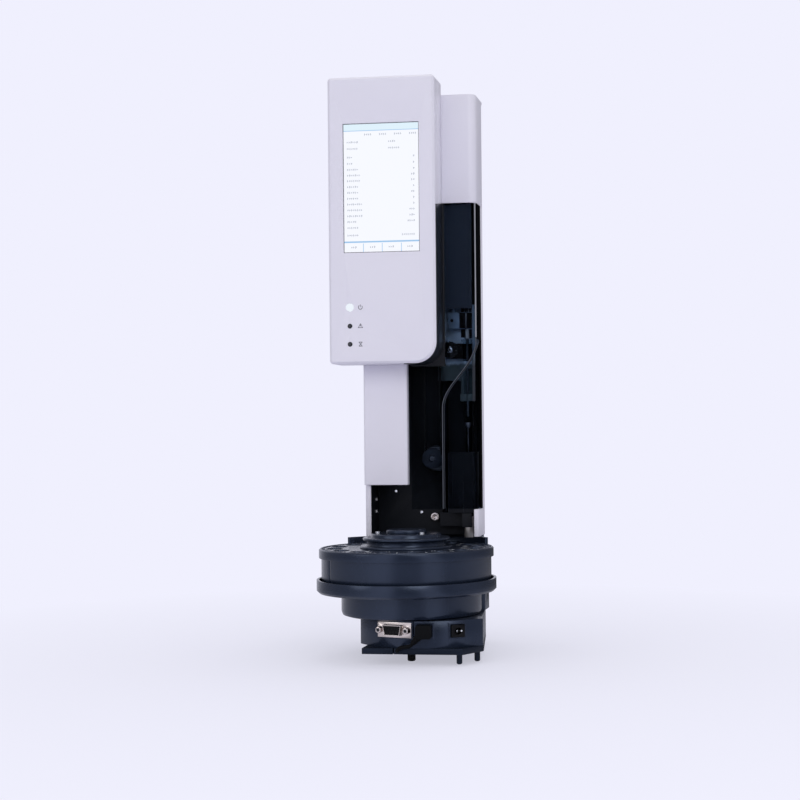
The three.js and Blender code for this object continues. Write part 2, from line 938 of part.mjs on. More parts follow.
function turretHub() {
  const bottom = turret.deck;
  return turned(
    [
      [0, bottom],
      [hub.skirtRadius, bottom],
      [hub.skirtRadius, hub.skirtTop - hub.bevel],
      [hub.skirtRadius - hub.bevel, hub.skirtTop],
      [hub.neckRadius, hub.skirtTop],
      [hub.neckRadius, hub.neckTop],
      [hub.flangeRadius, hub.neckTop + hub.bevel],
      [hub.flangeRadius, hub.flangeTop - hub.bevel],
      [hub.flangeRadius - hub.bevel, hub.flangeTop],
      [hub.ledgeRadius, hub.flangeTop],
      [hub.ledgeRadius, hub.top - hub.bevel],
      [hub.ledgeRadius - hub.bevel, hub.top],
      [0, hub.top],
    ],
    [0, 0],
    hubSides,
  );
}

function turretCap() {
  return turned(
    [
      [0, hub.top],
      [hub.capRadius, hub.top],
      [hub.capRadius, hub.capTop - hub.capBevel],
      [hub.capRadius - hub.capBevel, hub.capTop],
      [0, hub.capTop],
    ],
    [0, 0],
    hubSides,
  );
}

// Tower frame
function towerBracket() {
  const bottom = bracket.bottom;
  const wide = [bracket.left, bracket.right];
  const front = chassis.back + seatGap;
  const back = tower.back - rearCover.corner;
  const floor = block(wide, [front, back], [bottom, bottom + bracket.floor]);
  const flange = block(wide, [front, front + bracket.flange], [bottom, bottom + bracket.rise]);
  const side = polygon([
    [front, bottom],
    [back, bottom],
    [back, bottom + bracket.floor],
    [front + bracket.flange, bottom + bracket.gussetRise],
    [front, bottom + bracket.gussetRise],
  ]);
  const options = { depth: bracket.gusset, bevelEnabled: false };
  const gussets = [bracket.left, bracket.right - bracket.gusset].map((x) => {
    const sheetPiece = new THREE.ExtrudeGeometry(side, options);
    sheetPiece.rotateX(Math.PI / 2).rotateZ(Math.PI / 2);
    return solid(sheetPiece.translate(x, 0, 0));
  });
  return join([floor, flange, ...gussets]);
}

function chassisBackPlate() {
  const span = [chassis.front, chassis.back];
  const outline = polygon([
    [tower.left + sheet, tower.bottom],
    [chassis.earRight, tower.bottom],
    [chassis.earRight, door.bottom - seatGap],
    [chassis.right, door.bottom - seatGap],
    [chassis.right, door.top + seatGap],
    [chassis.earRight, door.top + seatGap],
    [chassis.earRight, tower.top - sheet - seatGap],
    [tower.left + sheet, tower.top - sheet - seatGap],
  ]);
  const holeSpan = [span[0] - overrun, span[1] + overrun];
  const shaftHole = rod("y", motor.pilot + slideGap, holeSpan, [belt.x, belt.lowerZ]);
  return cut(upright(outline, span), [shaftHole]);
}

function chassisLeftPlate() {
  const sideSpan = [chassis.sideFront, chassis.front];
  const inner = chassis.left + chassis.sideSheet;
  const web = block([chassis.left, inner], sideSpan, [tower.bottom, tower.top - sheet - seatGap]);
  const lip = block(
    [chassis.left, headBracket.left + headBracket.reach],
    [chassis.sideFront, chassis.sideFront + chassis.sideSheet],
    [headBracket.bottom, headBracket.top],
  );
  return web.add(lip);
}

function lockScrewPiece() {
  const place = [lockScrew.x, lockScrew.z];
  const front = chassis.front - lockScrew.head;
  const cap = rod("y", lockScrew.radius, [front, chassis.front], place);
  const socketSpan = [front - overrun, chassis.front - half(lockScrew.head)];
  return cap.subtract(rod("y", lockScrew.socket, socketSpan, place, hexagon));
}

// Tower covers
function rearCoverShell() {
  const top = tower.top;
  const front = chassis.back + seatGap;
  const corner = rearCover.corner;
  const outer = roundedRectangle(
    [rearCover.left, rearCover.right],
    [front, tower.back],
    [0, 0, corner, corner],
  );
  const inner = roundedRectangle(
    [rearCover.left + sheet, rearCover.right - sheet],
    [front - overrun, tower.back - sheet],
    [0, 0, corner - sheet, corner - sheet],
  );
  const shell = prism(outer, [bracket.bottom, top], cornerSegments);
  const hollow = prism(inner, [bracket.bottom - overrun, top - sheet], cornerSegments);
  const middle = half(rearCover.left + rearCover.right);
  const slots = Array.from({ length: rearCover.slots }, (_, index) => {
    const z = rearCover.slotBottom + index * rearCover.slotPitch;
    return block(
      [middle - half(rearCover.slotWidth), middle + half(rearCover.slotWidth)],
      [tower.back - sheet - overrun, tower.back + overrun],
      [z, z + rearCover.slotHeight],
    );
  });
  return cut(shell, [hollow, ...slots]);
}

function leftSideCover() {
  const wall = sideCover.wall;
  const outline = polygon([
    [tower.left, tower.front + wall],
    [tower.left + wall, tower.front],
    [tower.left + sideCover.lip, tower.front],
    [tower.left + sideCover.lip, tower.front + wall],
    [tower.left + wall, tower.front + wall],
    [tower.left + wall, tower.shellBack],
    [tower.left, tower.shellBack],
  ]);
  return prism(outline, [tower.bottom, tower.top - sheet - seatGap]);
}

function leftFrontCover() {
  const span = [leftCover.bottom, leftCover.top];
  const back = tower.front - seatGap;
  const outline = polygon([
    [tower.left, back],
    [tower.left, leftCover.front + leftCover.bevel],
    [tower.left + leftCover.bevel, leftCover.front],
    [leftCover.right - half(leftCover.bevel), leftCover.front],
    [leftCover.right, leftCover.front + half(leftCover.bevel)],
    [leftCover.right, back],
  ]);
  const rim = leftCover.rim;
  const hollow = block(
    [tower.left + rim, leftCover.right - rim],
    [leftCover.front + rim, back + overrun],
    [leftCover.bottom + rim, leftCover.top - rim],
  );
  const returnLip = block(
    [leftCover.right - rim, leftCover.right],
    [leftCover.front + rim, chassis.sideFront],
    span,
  );
  return prism(outline, span).subtract(hollow).add(returnLip);
}

// The outer line of the tower's front right corner, from a left edge round to the side's back.
function cornerOutline(left, front, right, back, radius, far) {
  const shape = new THREE.Shape();
  shape.moveTo(left, front);
  shape.lineTo(right - radius, front);
  shape.absarc(right - radius, front + radius, radius, -Math.PI / 2, 0);
  shape.lineTo(right, back);
  shape.lineTo(far, back);
  shape.lineTo(left, back);
  return shape;
}

function hingeHole(span) {
  return rod("z", door.pinBore, span, [door.pivotX, door.pivotY]);
}

function upperFrontCover() {
  const bottom = door.top + seatGap;
  const wall = sideCover.wall;
  const left = tower.left + sideCover.lip + seatGap;
  const front = tower.front;
  const back = tower.shellBack;
  const radius = tower.cornerRadius;
  const outer = cornerOutline(left, front, tower.right, back, radius, left);
  const inner = cornerOutline(
    left - overrun,
    front + wall,
    tower.right - wall,
    back + overrun,
    radius - wall,
    left - overrun,
  );
  const walls = prism(outer, [bottom, tower.top - wall], foldSegments).subtract(
    prism(inner, [bottom - overrun, tower.top], foldSegments),
  );
  const roofOutline = cornerOutline(tower.left, front, tower.right, chassis.back, radius, tower.left);
  const roof = prism(roofOutline, [tower.top - wall, tower.top], foldSegments);
  const boss = rod("z", door.knuckle, [bottom, bottom + door.knuckleHeight], [door.pivotX, door.pivotY]);
  const bossSpan = [bottom - overrun, bottom + door.knuckleHeight + overrun];
  return join([walls, roof, boss]).subtract(hingeHole(bossSpan));
}

function rightLowerCover() {
  const span = [tower.bottom, door.bottom - seatGap];
  const wall = sideCover.wall;
  const left = tower.right - sideCover.footWidth;
  const outer = cornerOutline(left, tower.front, tower.right, tower.shellBack, sideCover.footRadius, left);
  const hollow = block(
    [left - overrun, tower.right - wall],
    [tower.front + sideCover.footDepth, tower.shellBack + overrun],
    [span[0] - overrun, span[1] + overrun],
  );
  const boss = rod("z", door.knuckle, span, [door.pivotX, door.pivotY]);
  const bossSpan = [span[0] - overrun, span[1] + overrun];
  return prism(outer, span, foldSegments).subtract(hollow).add(boss).subtract(hingeHole(bossSpan));
}

function doorFascia() {
  const span = [fascia.bottom, door.top];
  const front = block([door.left, fascia.right], [tower.front, tower.front + fascia.thickness], span);
  const flange = block(
    [door.left, door.left + fascia.thickness],
    [tower.front, chassis.front],
    span,
  );
  return front.add(flange);
}

// The smoked door: a formed cover whose front steps back along an S-shaped ridge.
function doorRidge(grow) {
  const shape = new THREE.Shape();
  const far = tower.right + door.recess + grow;
  const low = door.bottom - door.recess - grow;
  shape.moveTo(door.ridgeX - grow, low);
  shape.lineTo(far, low);
  shape.lineTo(far, door.ridgeHigh + grow);
  shape.lineTo(tower.right + grow, door.ridgeHigh + grow);
  shape.bezierCurveTo(
    door.ridgeBendX - grow,
    door.ridgeBendHigh + grow,
    door.ridgeX - grow,
    door.ridgeBendLow + grow,
    door.ridgeX - grow,
    door.ridgeLow,
  );
  return shape;
}

function doorVolume(inset) {
  const radius = tower.cornerRadius - inset;
  const right = tower.right - inset;
  const left = door.left - (inset ? overrun : 0);
  const back = door.sideBack + (inset ? overrun : 0);
  const extra = inset ? overrun : 0;
  const span = [door.bottom - extra, door.top + extra];
  const flush = prism(
    cornerOutline(left, tower.front + inset, right, back, radius, left),
    span,
    foldSegments,
  );
  const stepped = prism(
    cornerOutline(left, tower.front + door.recess + inset, right, back, radius, left),
    span,
    foldSegments,
  );
  const ridge = upright(doorRidge(inset), [tower.front - overrun, back + overrun], hiddenSegments);
  return flush.subtract(ridge).add(stepped);
}

function smokedDoor() {
  const shell = doorVolume(0).subtract(doorVolume(door.wall));
  const headRoom = block(
    [door.left - overrun, door.upperLeft],
    [tower.front - overrun, tower.shellBack],
    [door.headStep, door.top + overrun],
  );
  const knuckles = [door.bottom, door.top - door.knuckleHeight].map((z) => {
    const place = [door.pivotX, door.pivotY];
    return rod("z", door.knuckle, [z, z + door.knuckleHeight], place);
  });
  const inside = shell.subtract(headRoom);
  const low = [door.bottom - overrun, door.bottom + door.knuckleHeight + overrun];
  const high = [door.top - door.knuckleHeight - overrun, door.top + overrun];
  return join([inside, ...knuckles]).subtract(hingeHole(low)).subtract(hingeHole(high));
}

function hingePin(span) {
  return rod("z", door.pinRadius, span, [door.pivotX, door.pivotY]);
}

function innerMaskPanel() {
  const span = [mask.bottom, door.top - seatGap];
  const front = block([mask.left, mask.right], [mask.front, mask.front + mask.wall], span);
  const flange = block(
    [mask.left - mask.wall, mask.left],
    [mask.front, chassis.front],
    [span[1] - mask.flangeDepth, span[1]],
  );
  return front.add(flange);
}

// Guide rods and their blocks
const rodPlaces = [
  [rods.leftX, rods.y],
  [rods.rightX, rods.y],
];

function guideRod(place) {
  return rod("z", rods.radius, [rods.bottom, rods.top], place);
}

function rodHoles(span, gap) {
  return rodPlaces.map((place) => rod("z", rods.radius + gap, span, place));
}

function lowerRodBlock() {
  const top = rods.blockBottom + rods.blockHeight;
  const depth = [rods.blockFront, chassis.front];
  const bar = block([rods.blockLeft, rods.blockRight], depth, [rods.blockBottom, top]);
  const armFront = station.y - needleGuide.radius - sheet;
  const arm = block([rods.armLeft, rods.blockRight], [armFront, rods.blockFront], [rods.blockBottom, top]);
  const guideHole = rod(
    "z",
    needleGuide.radius + half(seatGap),
    [rods.blockBottom - overrun, top + overrun],
    [station.x, station.y],
  );
  const sockets = rodHoles([rods.bottom - half(seatGap), top + overrun], half(seatGap));
  return cut(bar.add(arm), [guideHole, ...sockets]);
}

// The upper block also carries the idler's axle on an arm.
function upperRodBlock() {
  const top = rods.top + rods.cap;
  const bottom = top - rods.blockHeight;
  const depth = [rods.blockFront, chassis.front];
  const bar = block([belt.x - belt.hubRadius, rods.blockRight], depth, [bottom, top]);
  const drop = block(
    [belt.x - belt.hubRadius, belt.x + belt.hubRadius],
    depth,
    [belt.upperZ - belt.hubRadius, bottom],
  );
  const axle = rod("y", belt.axle, [belt.front - belt.flange, rods.blockFront], [belt.x, belt.upperZ]);
  return cut(join([bar, drop, axle]), rodHoles([bottom - overrun, rods.top + half(seatGap)], half(seatGap)));
}

function needleGuideTube() {
  const place = [station.x, station.y];
  return turned(
    [
      [needleGuide.bore, needleGuide.bottom],
      [needleGuide.radius, needleGuide.bottom],
      [needleGuide.radius, needleGuide.top],
      [needleGuide.funnel, needleGuide.top],
      [needleGuide.bore, needleGuide.top - needleGuide.funnelDepth],
    ],
    place,
    smallSides,
  );
}

function needleShroud() {
  const { left, right, front, wall, chamfer, back } = shroud;
  const innerChamfer = chamfer - wall + half(wall);
  const outline = polygon([
    [left, front],
    [right - chamfer, front],
    [right, front + chamfer],
    [right, back],
    [right - wall, back],
    [right - wall, front + wall + innerChamfer],
    [right - wall - innerChamfer, front + wall],
    [left + wall, front + wall],
    [left + wall, back],
    [left, back],
  ]);
  return prism(outline, [shroud.bottom, shroud.top]);
}

// Belt drive of the lift
function beltLoop(radius) {
  const shape = new THREE.Shape();
  shape.absarc(belt.x, belt.lowerZ, radius, Math.PI, 2 * Math.PI);
  shape.absarc(belt.x, belt.upperZ, radius, 0, Math.PI);
  return shape;
}

function timingBelt() {
  const span = [belt.front, belt.front + belt.width];
  const cutSpan = [span[0] - overrun, span[1] + overrun];
  const outer = upright(beltLoop(belt.pitchRadius + belt.outer), span);
  return outer.subtract(upright(beltLoop(belt.pitchRadius - belt.inner), cutSpan));
}

function pulley(z) {
  const front = belt.front - seatGap;
  const back = belt.front + belt.width + seatGap;
  const corners = Array.from({ length: 2 * belt.teeth }, (_, index) => {
    const radius = index % 2 ? belt.pulleyRadius : belt.pulleyRadius - belt.toothDepth;
    const angle = (Math.PI * index) / belt.teeth;
    return [belt.x + radius * Math.cos(angle), z + radius * Math.sin(angle)];
  });
  const barrel = upright(polygon(corners), [front, back]);
  const flanges = [
    rod("y", belt.pulleyFlange, [front - belt.flange, front], [belt.x, z], smallSides),
    rod("y", belt.pulleyFlange, [back, back + belt.flange], [belt.x, z], smallSides),
  ];
  const holeSpan = [front - belt.flange - overrun, back + belt.flange + overrun];
  const hole = rod("y", belt.axleBore, holeSpan, [belt.x, z]);
  return join([barrel, ...flanges]).subtract(hole);
}

function liftMotor() {
  const wide = half(motor.side);
  const front = chassis.back + seatGap;
  const bevel = motor.bevel;
  const outline = roundedRectangle(
    [belt.x - wide, belt.x + wide],
    [belt.lowerZ - wide, belt.lowerZ + wide],
    [bevel, bevel, bevel, bevel],
  );
  const can = upright(outline, [front, front + motor.depth], cornerSegments);
  const pilot = rod("y", motor.pilot, [front - motor.pilotDepth, front], [belt.x, belt.lowerZ]);
  const shaft = rod("y", motor.shaft, [belt.front - belt.flange, front], [belt.x, belt.lowerZ]);
  return join([can, pilot, shaft]);
}

// Syringe carriage
function syringeCarriage() {
  const web = polygon([
    [carriage.left, carriage.lugBottom],
    [carriage.stepX, carriage.lugBottom],
    [carriage.stepX, carriage.holderBottom],
    [carriage.right, carriage.holderBottom],
    [carriage.right, carriage.shoulder],
    [carriage.mastRight, carriage.shoulder],
    [carriage.mastRight, carriage.mastTop],
    [carriage.mastLeft, carriage.mastTop],
    [carriage.mastLeft, carriage.shoulder],
    [carriage.left, carriage.shoulder],
  ]);
  const webBack = carriage.webFront + carriage.web;
  const body = upright(web, [carriage.webFront, webBack]);
  const lugZ = [carriage.lugBottom, carriage.shoulder - carriage.lugHeight];
  const lugs = lugZ.map((z) =>
    block([carriage.left, carriage.lugRight], [webBack, carriage.lugBack], [z, z + carriage.lugHeight]),
  );
  const armZ = [carriage.holderBottom, carriage.armUpper];
  const armDepth = [carriage.armFront, carriage.webFront];
  const arms = armZ.map((z) =>
    block([carriage.armLeft, carriage.right], armDepth, [z, z + carriage.armHeight]),
  );
  const shelf = block(
    [carriage.mastLeft, carriage.mastRight + sheet],
    [driver.motorFront, carriage.webFront],
    [carriage.mastTop - sheet, carriage.mastTop],
  );
  const barrelHole = rod(
    "z",
    syringe.barrelRadius + seatGap,
    [carriage.holderBottom - overrun, carriage.shoulder],
    [station.x, station.y],
  );
  const shaftHole = rod(
    "z",
    driver.shaftRadius + slideGap,
    [carriage.mastTop - sheet - overrun, carriage.mastTop + overrun],
    [driver.shaftX, driver.shaftY],
  );
  const bores = rodHoles([carriage.lugBottom - overrun, carriage.shoulder + overrun], slideGap);
  const peep = rod("y", carriage.peepHole, [carriage.webFront - overrun, webBack + overrun], [
    carriage.peepX,
    carriage.peepZ,
  ]);
  const stemHole = rod("y", knob.stem + seatGap, [carriage.webFront - overrun, webBack + overrun], [
    knob.x,
    knob.z,
  ]);
  return cut(join([body, ...lugs, ...arms, shelf]), [barrelHole, shaftHole, ...bores, peep, stemHole]);
}

function beltClampPiece() {
  const span = [beltClamp.bottom, beltClamp.bottom + beltClamp.height];
  const body = block([beltClamp.left, beltClamp.right], [beltClamp.front, carriage.webFront], span);
  const strand = belt.x + belt.pitchRadius;
  const slot = block(
    [strand - belt.inner - seatGap, strand + belt.outer + seatGap],
    [belt.front - seatGap, belt.front + belt.width + seatGap],
    [span[0] - overrun, span[1] + overrun],
  );
  const knobRoom = rod("y", knob.radius + slideGap, [beltClamp.front - overrun, carriage.webFront - sheet], [
    knob.x,
    knob.z,
  ]);
  return cut(body, [slot, knobRoom]);
}

function clampBarPiece() {
  const span = [clampBar.bottom, clampBar.bottom + clampBar.height];
  const left = beltClamp.right + seatGap;
  const body = block([left, clampBar.right], [clampBar.front, carriage.webFront - half(seatGap)], span);
  const barrel = rod(
    "z",
    syringe.barrelRadius + half(seatGap),
    [span[0] - overrun, span[1] + overrun],
    [station.x, station.y],
  );
  const mouth = block(
    [station.x - syringe.barrelRadius - half(seatGap), station.x + syringe.barrelRadius + half(seatGap)],
    [clampBar.front - overrun, station.y],
    [span[0] - overrun, span[1] + overrun],
  );
  const stemSpan = [clampBar.front - overrun, carriage.webFront];
  const stemHole = rod("y", knob.stem + seatGap, stemSpan, [knob.x, knob.z]);
  return cut(body, [barrel, mouth, stemHole]);
}

function clampKnob() {
  const back = knob.front + knob.head;
  const head = rod("y", knob.radius, [knob.front, back], [knob.x, knob.z], 2 * knob.flutes);
  const flutes = Array.from({ length: knob.flutes }, (_, index) => {
    const angle = (2 * Math.PI * index) / knob.flutes;
    return rod(
      "y",
      knob.flute,
      [knob.front - overrun, back + overrun],
      [knob.x + knob.radius * Math.cos(angle), knob.z + knob.radius * Math.sin(angle)],
      knob.fluteSides,
    );
  });
  const stem = rod("y", knob.stem, [back, carriage.webFront + carriage.web], [knob.x, knob.z]);
  return cut(head, flutes).add(stem);
}

// Syringe and its plunger
function syringeBarrel() {
  const bottom = syringe.barrelBottom;
  const top = syringe.barrelTop;
  return turned(
    [
      [syringe.bore, bottom],
      [syringe.barrelRadius - slideGap, bottom],
      [syringe.barrelRadius, bottom + slideGap],
      [syringe.barrelRadius, top],
      [syringe.flangeRadius, top],
      [syringe.flangeRadius, top + syringe.flange],
      [syringe.bore, top + syringe.flange],
    ],
    [station.x, station.y],
    smallSides,
  );
}

function plungerPiece() {
  const bottom = syringe.barrelBottom + syringe.hubLength;
  const top = syringe.plungerTop;
  return turned(
    [
      [0, bottom],
      [syringe.plungerRadius, bottom],
      [syringe.plungerRadius, top - syringe.button],
      [syringe.buttonRadius, top - syringe.button],
      [syringe.buttonRadius, top],
      [0, top],
    ],
    [station.x, station.y],
    smallSides,
  );
}

function needlePiece() {
  const hubTop = syringe.barrelBottom - seatGap;
  const hubBottom = hubTop - syringe.hubLength;
  return turned(
    [
      [0, syringe.needleTip],
      [syringe.needleRadius, syringe.needleTip + 2 * syringe.needleRadius],
      [syringe.needleRadius, hubBottom],
      [half(syringe.hubRadius), hubBottom],
      [syringe.hubRadius, hubBottom + half(syringe.hubLength)],
      [syringe.hubRadius, hubTop],
      [0, hubTop],
    ],
    [station.x, station.y],
    fewestSides,
  );
}

function plungerDriver() {
  const top = driver.bottom + driver.height;
  const body = block([driver.left, driver.right], [driver.front, driver.back], [driver.bottom, top]);
  const stem = rod("z", driver.shaftRadius, [top, driver.shaftTop], [driver.shaftX, driver.shaftY]);
  const buttonRoom = rod(
    "z",
    syringe.buttonRadius + seatGap,
    [syringe.plungerTop - syringe.button - seatGap, syringe.plungerTop + seatGap],
    [station.x, station.y],
  );
  const buttonMouth = block(
    [station.x - syringe.buttonRadius - seatGap, station.x + syringe.buttonRadius + seatGap],
    [driver.front - overrun, station.y],
    [syringe.plungerTop - syringe.button - seatGap, syringe.plungerTop + seatGap],
  );
  const rodMouth = block(
    [station.x - syringe.plungerRadius - slideGap, station.x + syringe.plungerRadius + slideGap],
    [driver.front - overrun, station.y + syringe.plungerRadius + slideGap],
    [driver.bottom - overrun, syringe.plungerTop - syringe.button],
  );
  return cut(body.add(stem), [buttonRoom, buttonMouth, rodMouth]);
}

function plungerMotor() {
  const bottom = carriage.mastTop + seatGap;
  const side = half(driver.motorWidth);
  const x = driver.shaftX;
  const bevel = sheet;
  const outline = roundedRectangle(
    [x - side, x + side],
    [driver.motorFront, driver.motorBack],
    [bevel, bevel, bevel, bevel],
  );
  const can = prism(outline, [bottom, bottom + driver.motorHeight], cornerSegments);
  const span = [bottom - overrun, bottom + driver.motorHeight + overrun];
  return can.subtract(rod("z", driver.shaftRadius + slideGap, span, [x, driver.shaftY]));
}

// Control head
function headOutline(inset) {
  const corner = Math.max(head.corner - inset, half(half(sheet)));
  const big = head.bigCorner - inset;
  return roundedRectangle(
    [head.left + inset, head.right - inset],
    [head.bottom + inset, head.top - inset],
    [corner, big, corner, corner],
  );
}

function headFrontBezel() {
  const span = [head.front + head.bevel, head.split];
  const body = upright(headOutline(0), span, headSegments);
  const nose = taperedFace();
  const hollowSpan = [head.front + head.wall, head.split + overrun];
  const hollow = upright(headOutline(head.wall), hollowSpan, headSegments);
  const window = block(
    [screen.middleX - half(screen.width), screen.middleX + half(screen.width)],
    [head.front - overrun, head.front + head.wall + overrun],
    [screen.top - screen.height, screen.top],
  );
  const lampHoles = lamps().map(([radius, z]) =>
    rod("y", radius + half(seatGap), [head.front - overrun, head.front + head.wall + overrun], [lamp.x, z]),
  );
  return cut(body.add(nose), [hollow, window, ...lampHoles]);
}

// The points of a closed outline, without those that meet their neighbour.
function cornersOf(outline) {
  const points = outline.getPoints(headSegments);
  return points.filter((point, index) => {
    const next = points[(index + 1) % points.length];
    return point.distanceTo(next) > nearest;
  });
}

// The bevelled front of the head: its outline drawn in by the bevel, joined to the full one.
function taperedFace() {
  const back = cornersOf(headOutline(0));
  const front = cornersOf(headOutline(head.bevel));
  const count = back.length;
  const y0 = head.front;
  const y1 = head.front + head.bevel;
  const at = (points, index, y) => [points[index % count].x, y, points[index % count].y];
  const positions = [];
  for (let i = 0; i < count; i += 1) {
    positions.push(...at(back, i, y1), ...at(back, i + 1, y1), ...at(front, i + 1, y0));
    positions.push(...at(back, i, y1), ...at(front, i + 1, y0), ...at(front, i, y0));
  }
  THREE.ShapeUtils.triangulateShape(front, []).forEach(([i, j, k]) => {
    positions.push(...at(front, i, y0), ...at(front, j, y0), ...at(front, k, y0));
    positions.push(...at(back, k, y1), ...at(back, j, y1), ...at(back, i, y1));
  });
  const geometry = new THREE.BufferGeometry();
  geometry.setAttribute("position", new THREE.Float32BufferAttribute(positions, 3));
  return solid(geometry);
}

function lamps() {
  return [
    [lamp.powerRadius, lamp.powerZ],
    [lamp.radius, lamp.warningZ],
    [lamp.radius, lamp.waitingZ],
  ];
}

function lampLens([radius, z]) {
  return rod("y", radius, [head.front - lamp.proud, head.front + lamp.depth], [lamp.x, z], smallSides);
}

function headBackShell() {
  const span = [head.split, head.back];
  const hollowSpan = [head.split - overrun, head.back - head.wall];
  const hollow = upright(headOutline(head.wall), hollowSpan, headSegments);
  const shell = upright(headOutline(0), span, headSegments).subtract(hollow);
  const coverPocket = block(
    [tower.left - slideGap, leftCover.right + slideGap],
    [leftCover.front - slideGap, head.back + overrun],
    [head.bottom - overrun, leftCover.top + slideGap],
  );
  const pocketBox = block(
    [tower.left - slideGap - head.wall, leftCover.right + slideGap + head.wall],
    [leftCover.front - slideGap - head.wall, head.back],
    [head.bottom, leftCover.top + slideGap + head.wall],
  );
  return shell.add(pocketBox).subtract(coverPocket);
}

function touchScreen() {
  const face = head.front + screen.recess;
  const wide = half(screen.width) - half(seatGap);
  const z1 = screen.top - half(seatGap);
  const z0 = screen.top - screen.height + half(seatGap);
  const x = screen.middleX;
  const pane = block([x - wide, x + wide], [face, head.front + head.wall + seatGap], [z0, z1]);
  const rim = screen.moduleRim;
  const back = head.front + head.wall + seatGap;
  const module = block(
    [x - wide - rim, x + wide + rim],
    [back, back + screen.moduleDepth],
    [z0 - rim, z1 + rim],
  );
  return pane.add(module);
}

function controlBoard() {
  const back = head.front + head.wall + seatGap + screen.moduleDepth;
  const x = screen.middleX;
  const top = screen.top + screen.moduleRim;
  const wide = half(screen.boardWidth);
  const front = back + seatGap;
  const rear = front + screen.board;
  const board = block([x - wide, x + wide], [front, rear], [top - screen.boardHeight, top]);
  const chips = [-1, 0, 1].map((step) => {
    const z = top - half(screen.boardHeight) + step * 2 * screen.chip;
    return block(
      [x - half(screen.chip), x + half(screen.chip)],
      [rear, rear + screen.chipHeight],
      [z, z + screen.chip],
    );
  });
  return join([board, ...chips]);
}

function headBracketPiece() {
  const front = head.back;
  const span = [front + seatGap, chassis.sideFront - seatGap];
  return block([headBracket.left, headBracket.right], span, [headBracket.bottom, headBracket.top]);
}

add("base_plate", basePlate(), darkMoulding);
Object.entries(foot.places).forEach(([side, place]) => {
  add(`rubber_foot_${side}`, rubberFoot(place), blackRubber);
});
add("base_housing", baseHousing(), darkMoulding);
add("data_socket_shell", dataSocketShell(), nickel);
add("data_socket_insert", dataSocketInsert(), blackRubber);
add("power_socket_body", powerSocketBody(), blackRubber);
add("lead_plug", leadPlug(), blackRubber);
add("jumper_lead", jumperLead(), blackRubber);
add("tray_housing", trayHousing(), darkMoulding);
add("turret_motor", turretMotor(), blackSheet);
add("turret_bearing", turretBearing(), steel);

const turretGroup = new THREE.Group();
model.add(turretGroup);
add("turret_carousel", turretCarousel(), darkMoulding, turretGroup);
add("turret_spindle", turretSpindle(), steel, turretGroup);
add("turret_hub", turretHub(), darkMoulding, turretGroup);
add("turret_cap", turretCap(), darkMoulding, turretGroup);

add("tower_bracket", towerBracket(), blackSheet);
add("chassis_back_plate", chassisBackPlate(), blackSheet);
add("chassis_left_plate", chassisLeftPlate(), blackSheet);
add("lock_screw", lockScrewPiece(), chrome);
add("rear_cover", rearCoverShell(), whiteShell);
add("left_side_cover", leftSideCover(), whiteShell);
add("left_front_cover", leftFrontCover(), whiteShell);
add("upper_front_cover", upperFrontCover(), whiteShell);
add("right_lower_cover", rightLowerCover(), whiteShell);
add("door_fascia", doorFascia(), blackSheet);
add("inner_mask_panel", innerMaskPanel(), blackSheet);
const pinTop = door.top + seatGap + door.knuckleHeight;
add("lower_hinge_pin", hingePin([tower.bottom, door.bottom + door.pinReach]), steel);
add("upper_hinge_pin", hingePin([door.top - door.pinReach, pinTop]), steel);

const doorGroup = new THREE.Group();
model.add(doorGroup);
add("smoked_door", smokedDoor(), smoked, doorGroup);

add("left_guide_rod", guideRod(rodPlaces[0]), chrome);
add("right_guide_rod", guideRod(rodPlaces[1]), chrome);
add("lower_rod_block", lowerRodBlock(), blackSheet);
add("upper_rod_block", upperRodBlock(), alloy);
add("needle_guide", needleGuideTube(), chrome);
add("needle_shroud", needleShroud(), blackSheet);
add("lift_motor", liftMotor(), blackSheet);
add("timing_belt", timingBelt(), blackRubber);
add("drive_pulley", pulley(belt.lowerZ), alloy);
add("idler_pulley", pulley(belt.upperZ), alloy);

const carriageGroup = new THREE.Group();
model.add(carriageGroup);
add("syringe_carriage", syringeCarriage(), blueGrey, carriageGroup);
add("belt_clamp", beltClampPiece(), alloy, carriageGroup);
add("clamp_bar", clampBarPiece(), blackSheet, carriageGroup);
add("clamp_knob", clampKnob(), blackSheet, carriageGroup);
add("syringe_barrel", syringeBarrel(), clearGlass, carriageGroup);
add("needle", needlePiece(), steel, carriageGroup);
add("plunger_motor", plungerMotor(), blackSheet, carriageGroup);

const plungerGroup = new THREE.Group();
carriageGroup.add(plungerGroup);
add("plunger", plungerPiece(), steel, plungerGroup);
add("plunger_driver", plungerDriver(), alloy, plungerGroup);

const [powerLamp, warningLamp, waitingLamp] = lamps();
add("head_front_bezel", headFrontBezel(), whiteShell);
add("head_back_shell", headBackShell(), whiteShell);
add("touch_screen", touchScreen(), screenWhite);
add("control_board", controlBoard(), boardGreen);
add("power_lens", lampLens(powerLamp), lampWhite);
add("warning_lens", lampLens(warningLamp), lampDark);
add("waiting_lens", lampLens(waitingLamp), lampDark);
add("head_bracket", headBracketPiece(), steel);

// The finished group stands on the middle of its own footprint.
const bounds = new THREE.Box3().setFromObject(model);
const middle = bounds.getCenter(new THREE.Vector3());
model.position.set(-middle.x, -middle.y, -bounds.min.z);

export default model;
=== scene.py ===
import json
import math

import bmesh
import bpy
from bpy.props import FloatProperty, FloatVectorProperty, IntProperty, PointerProperty
from bpy.types import Operator, Panel, PropertyGroup
from mathutils import Matrix, Vector


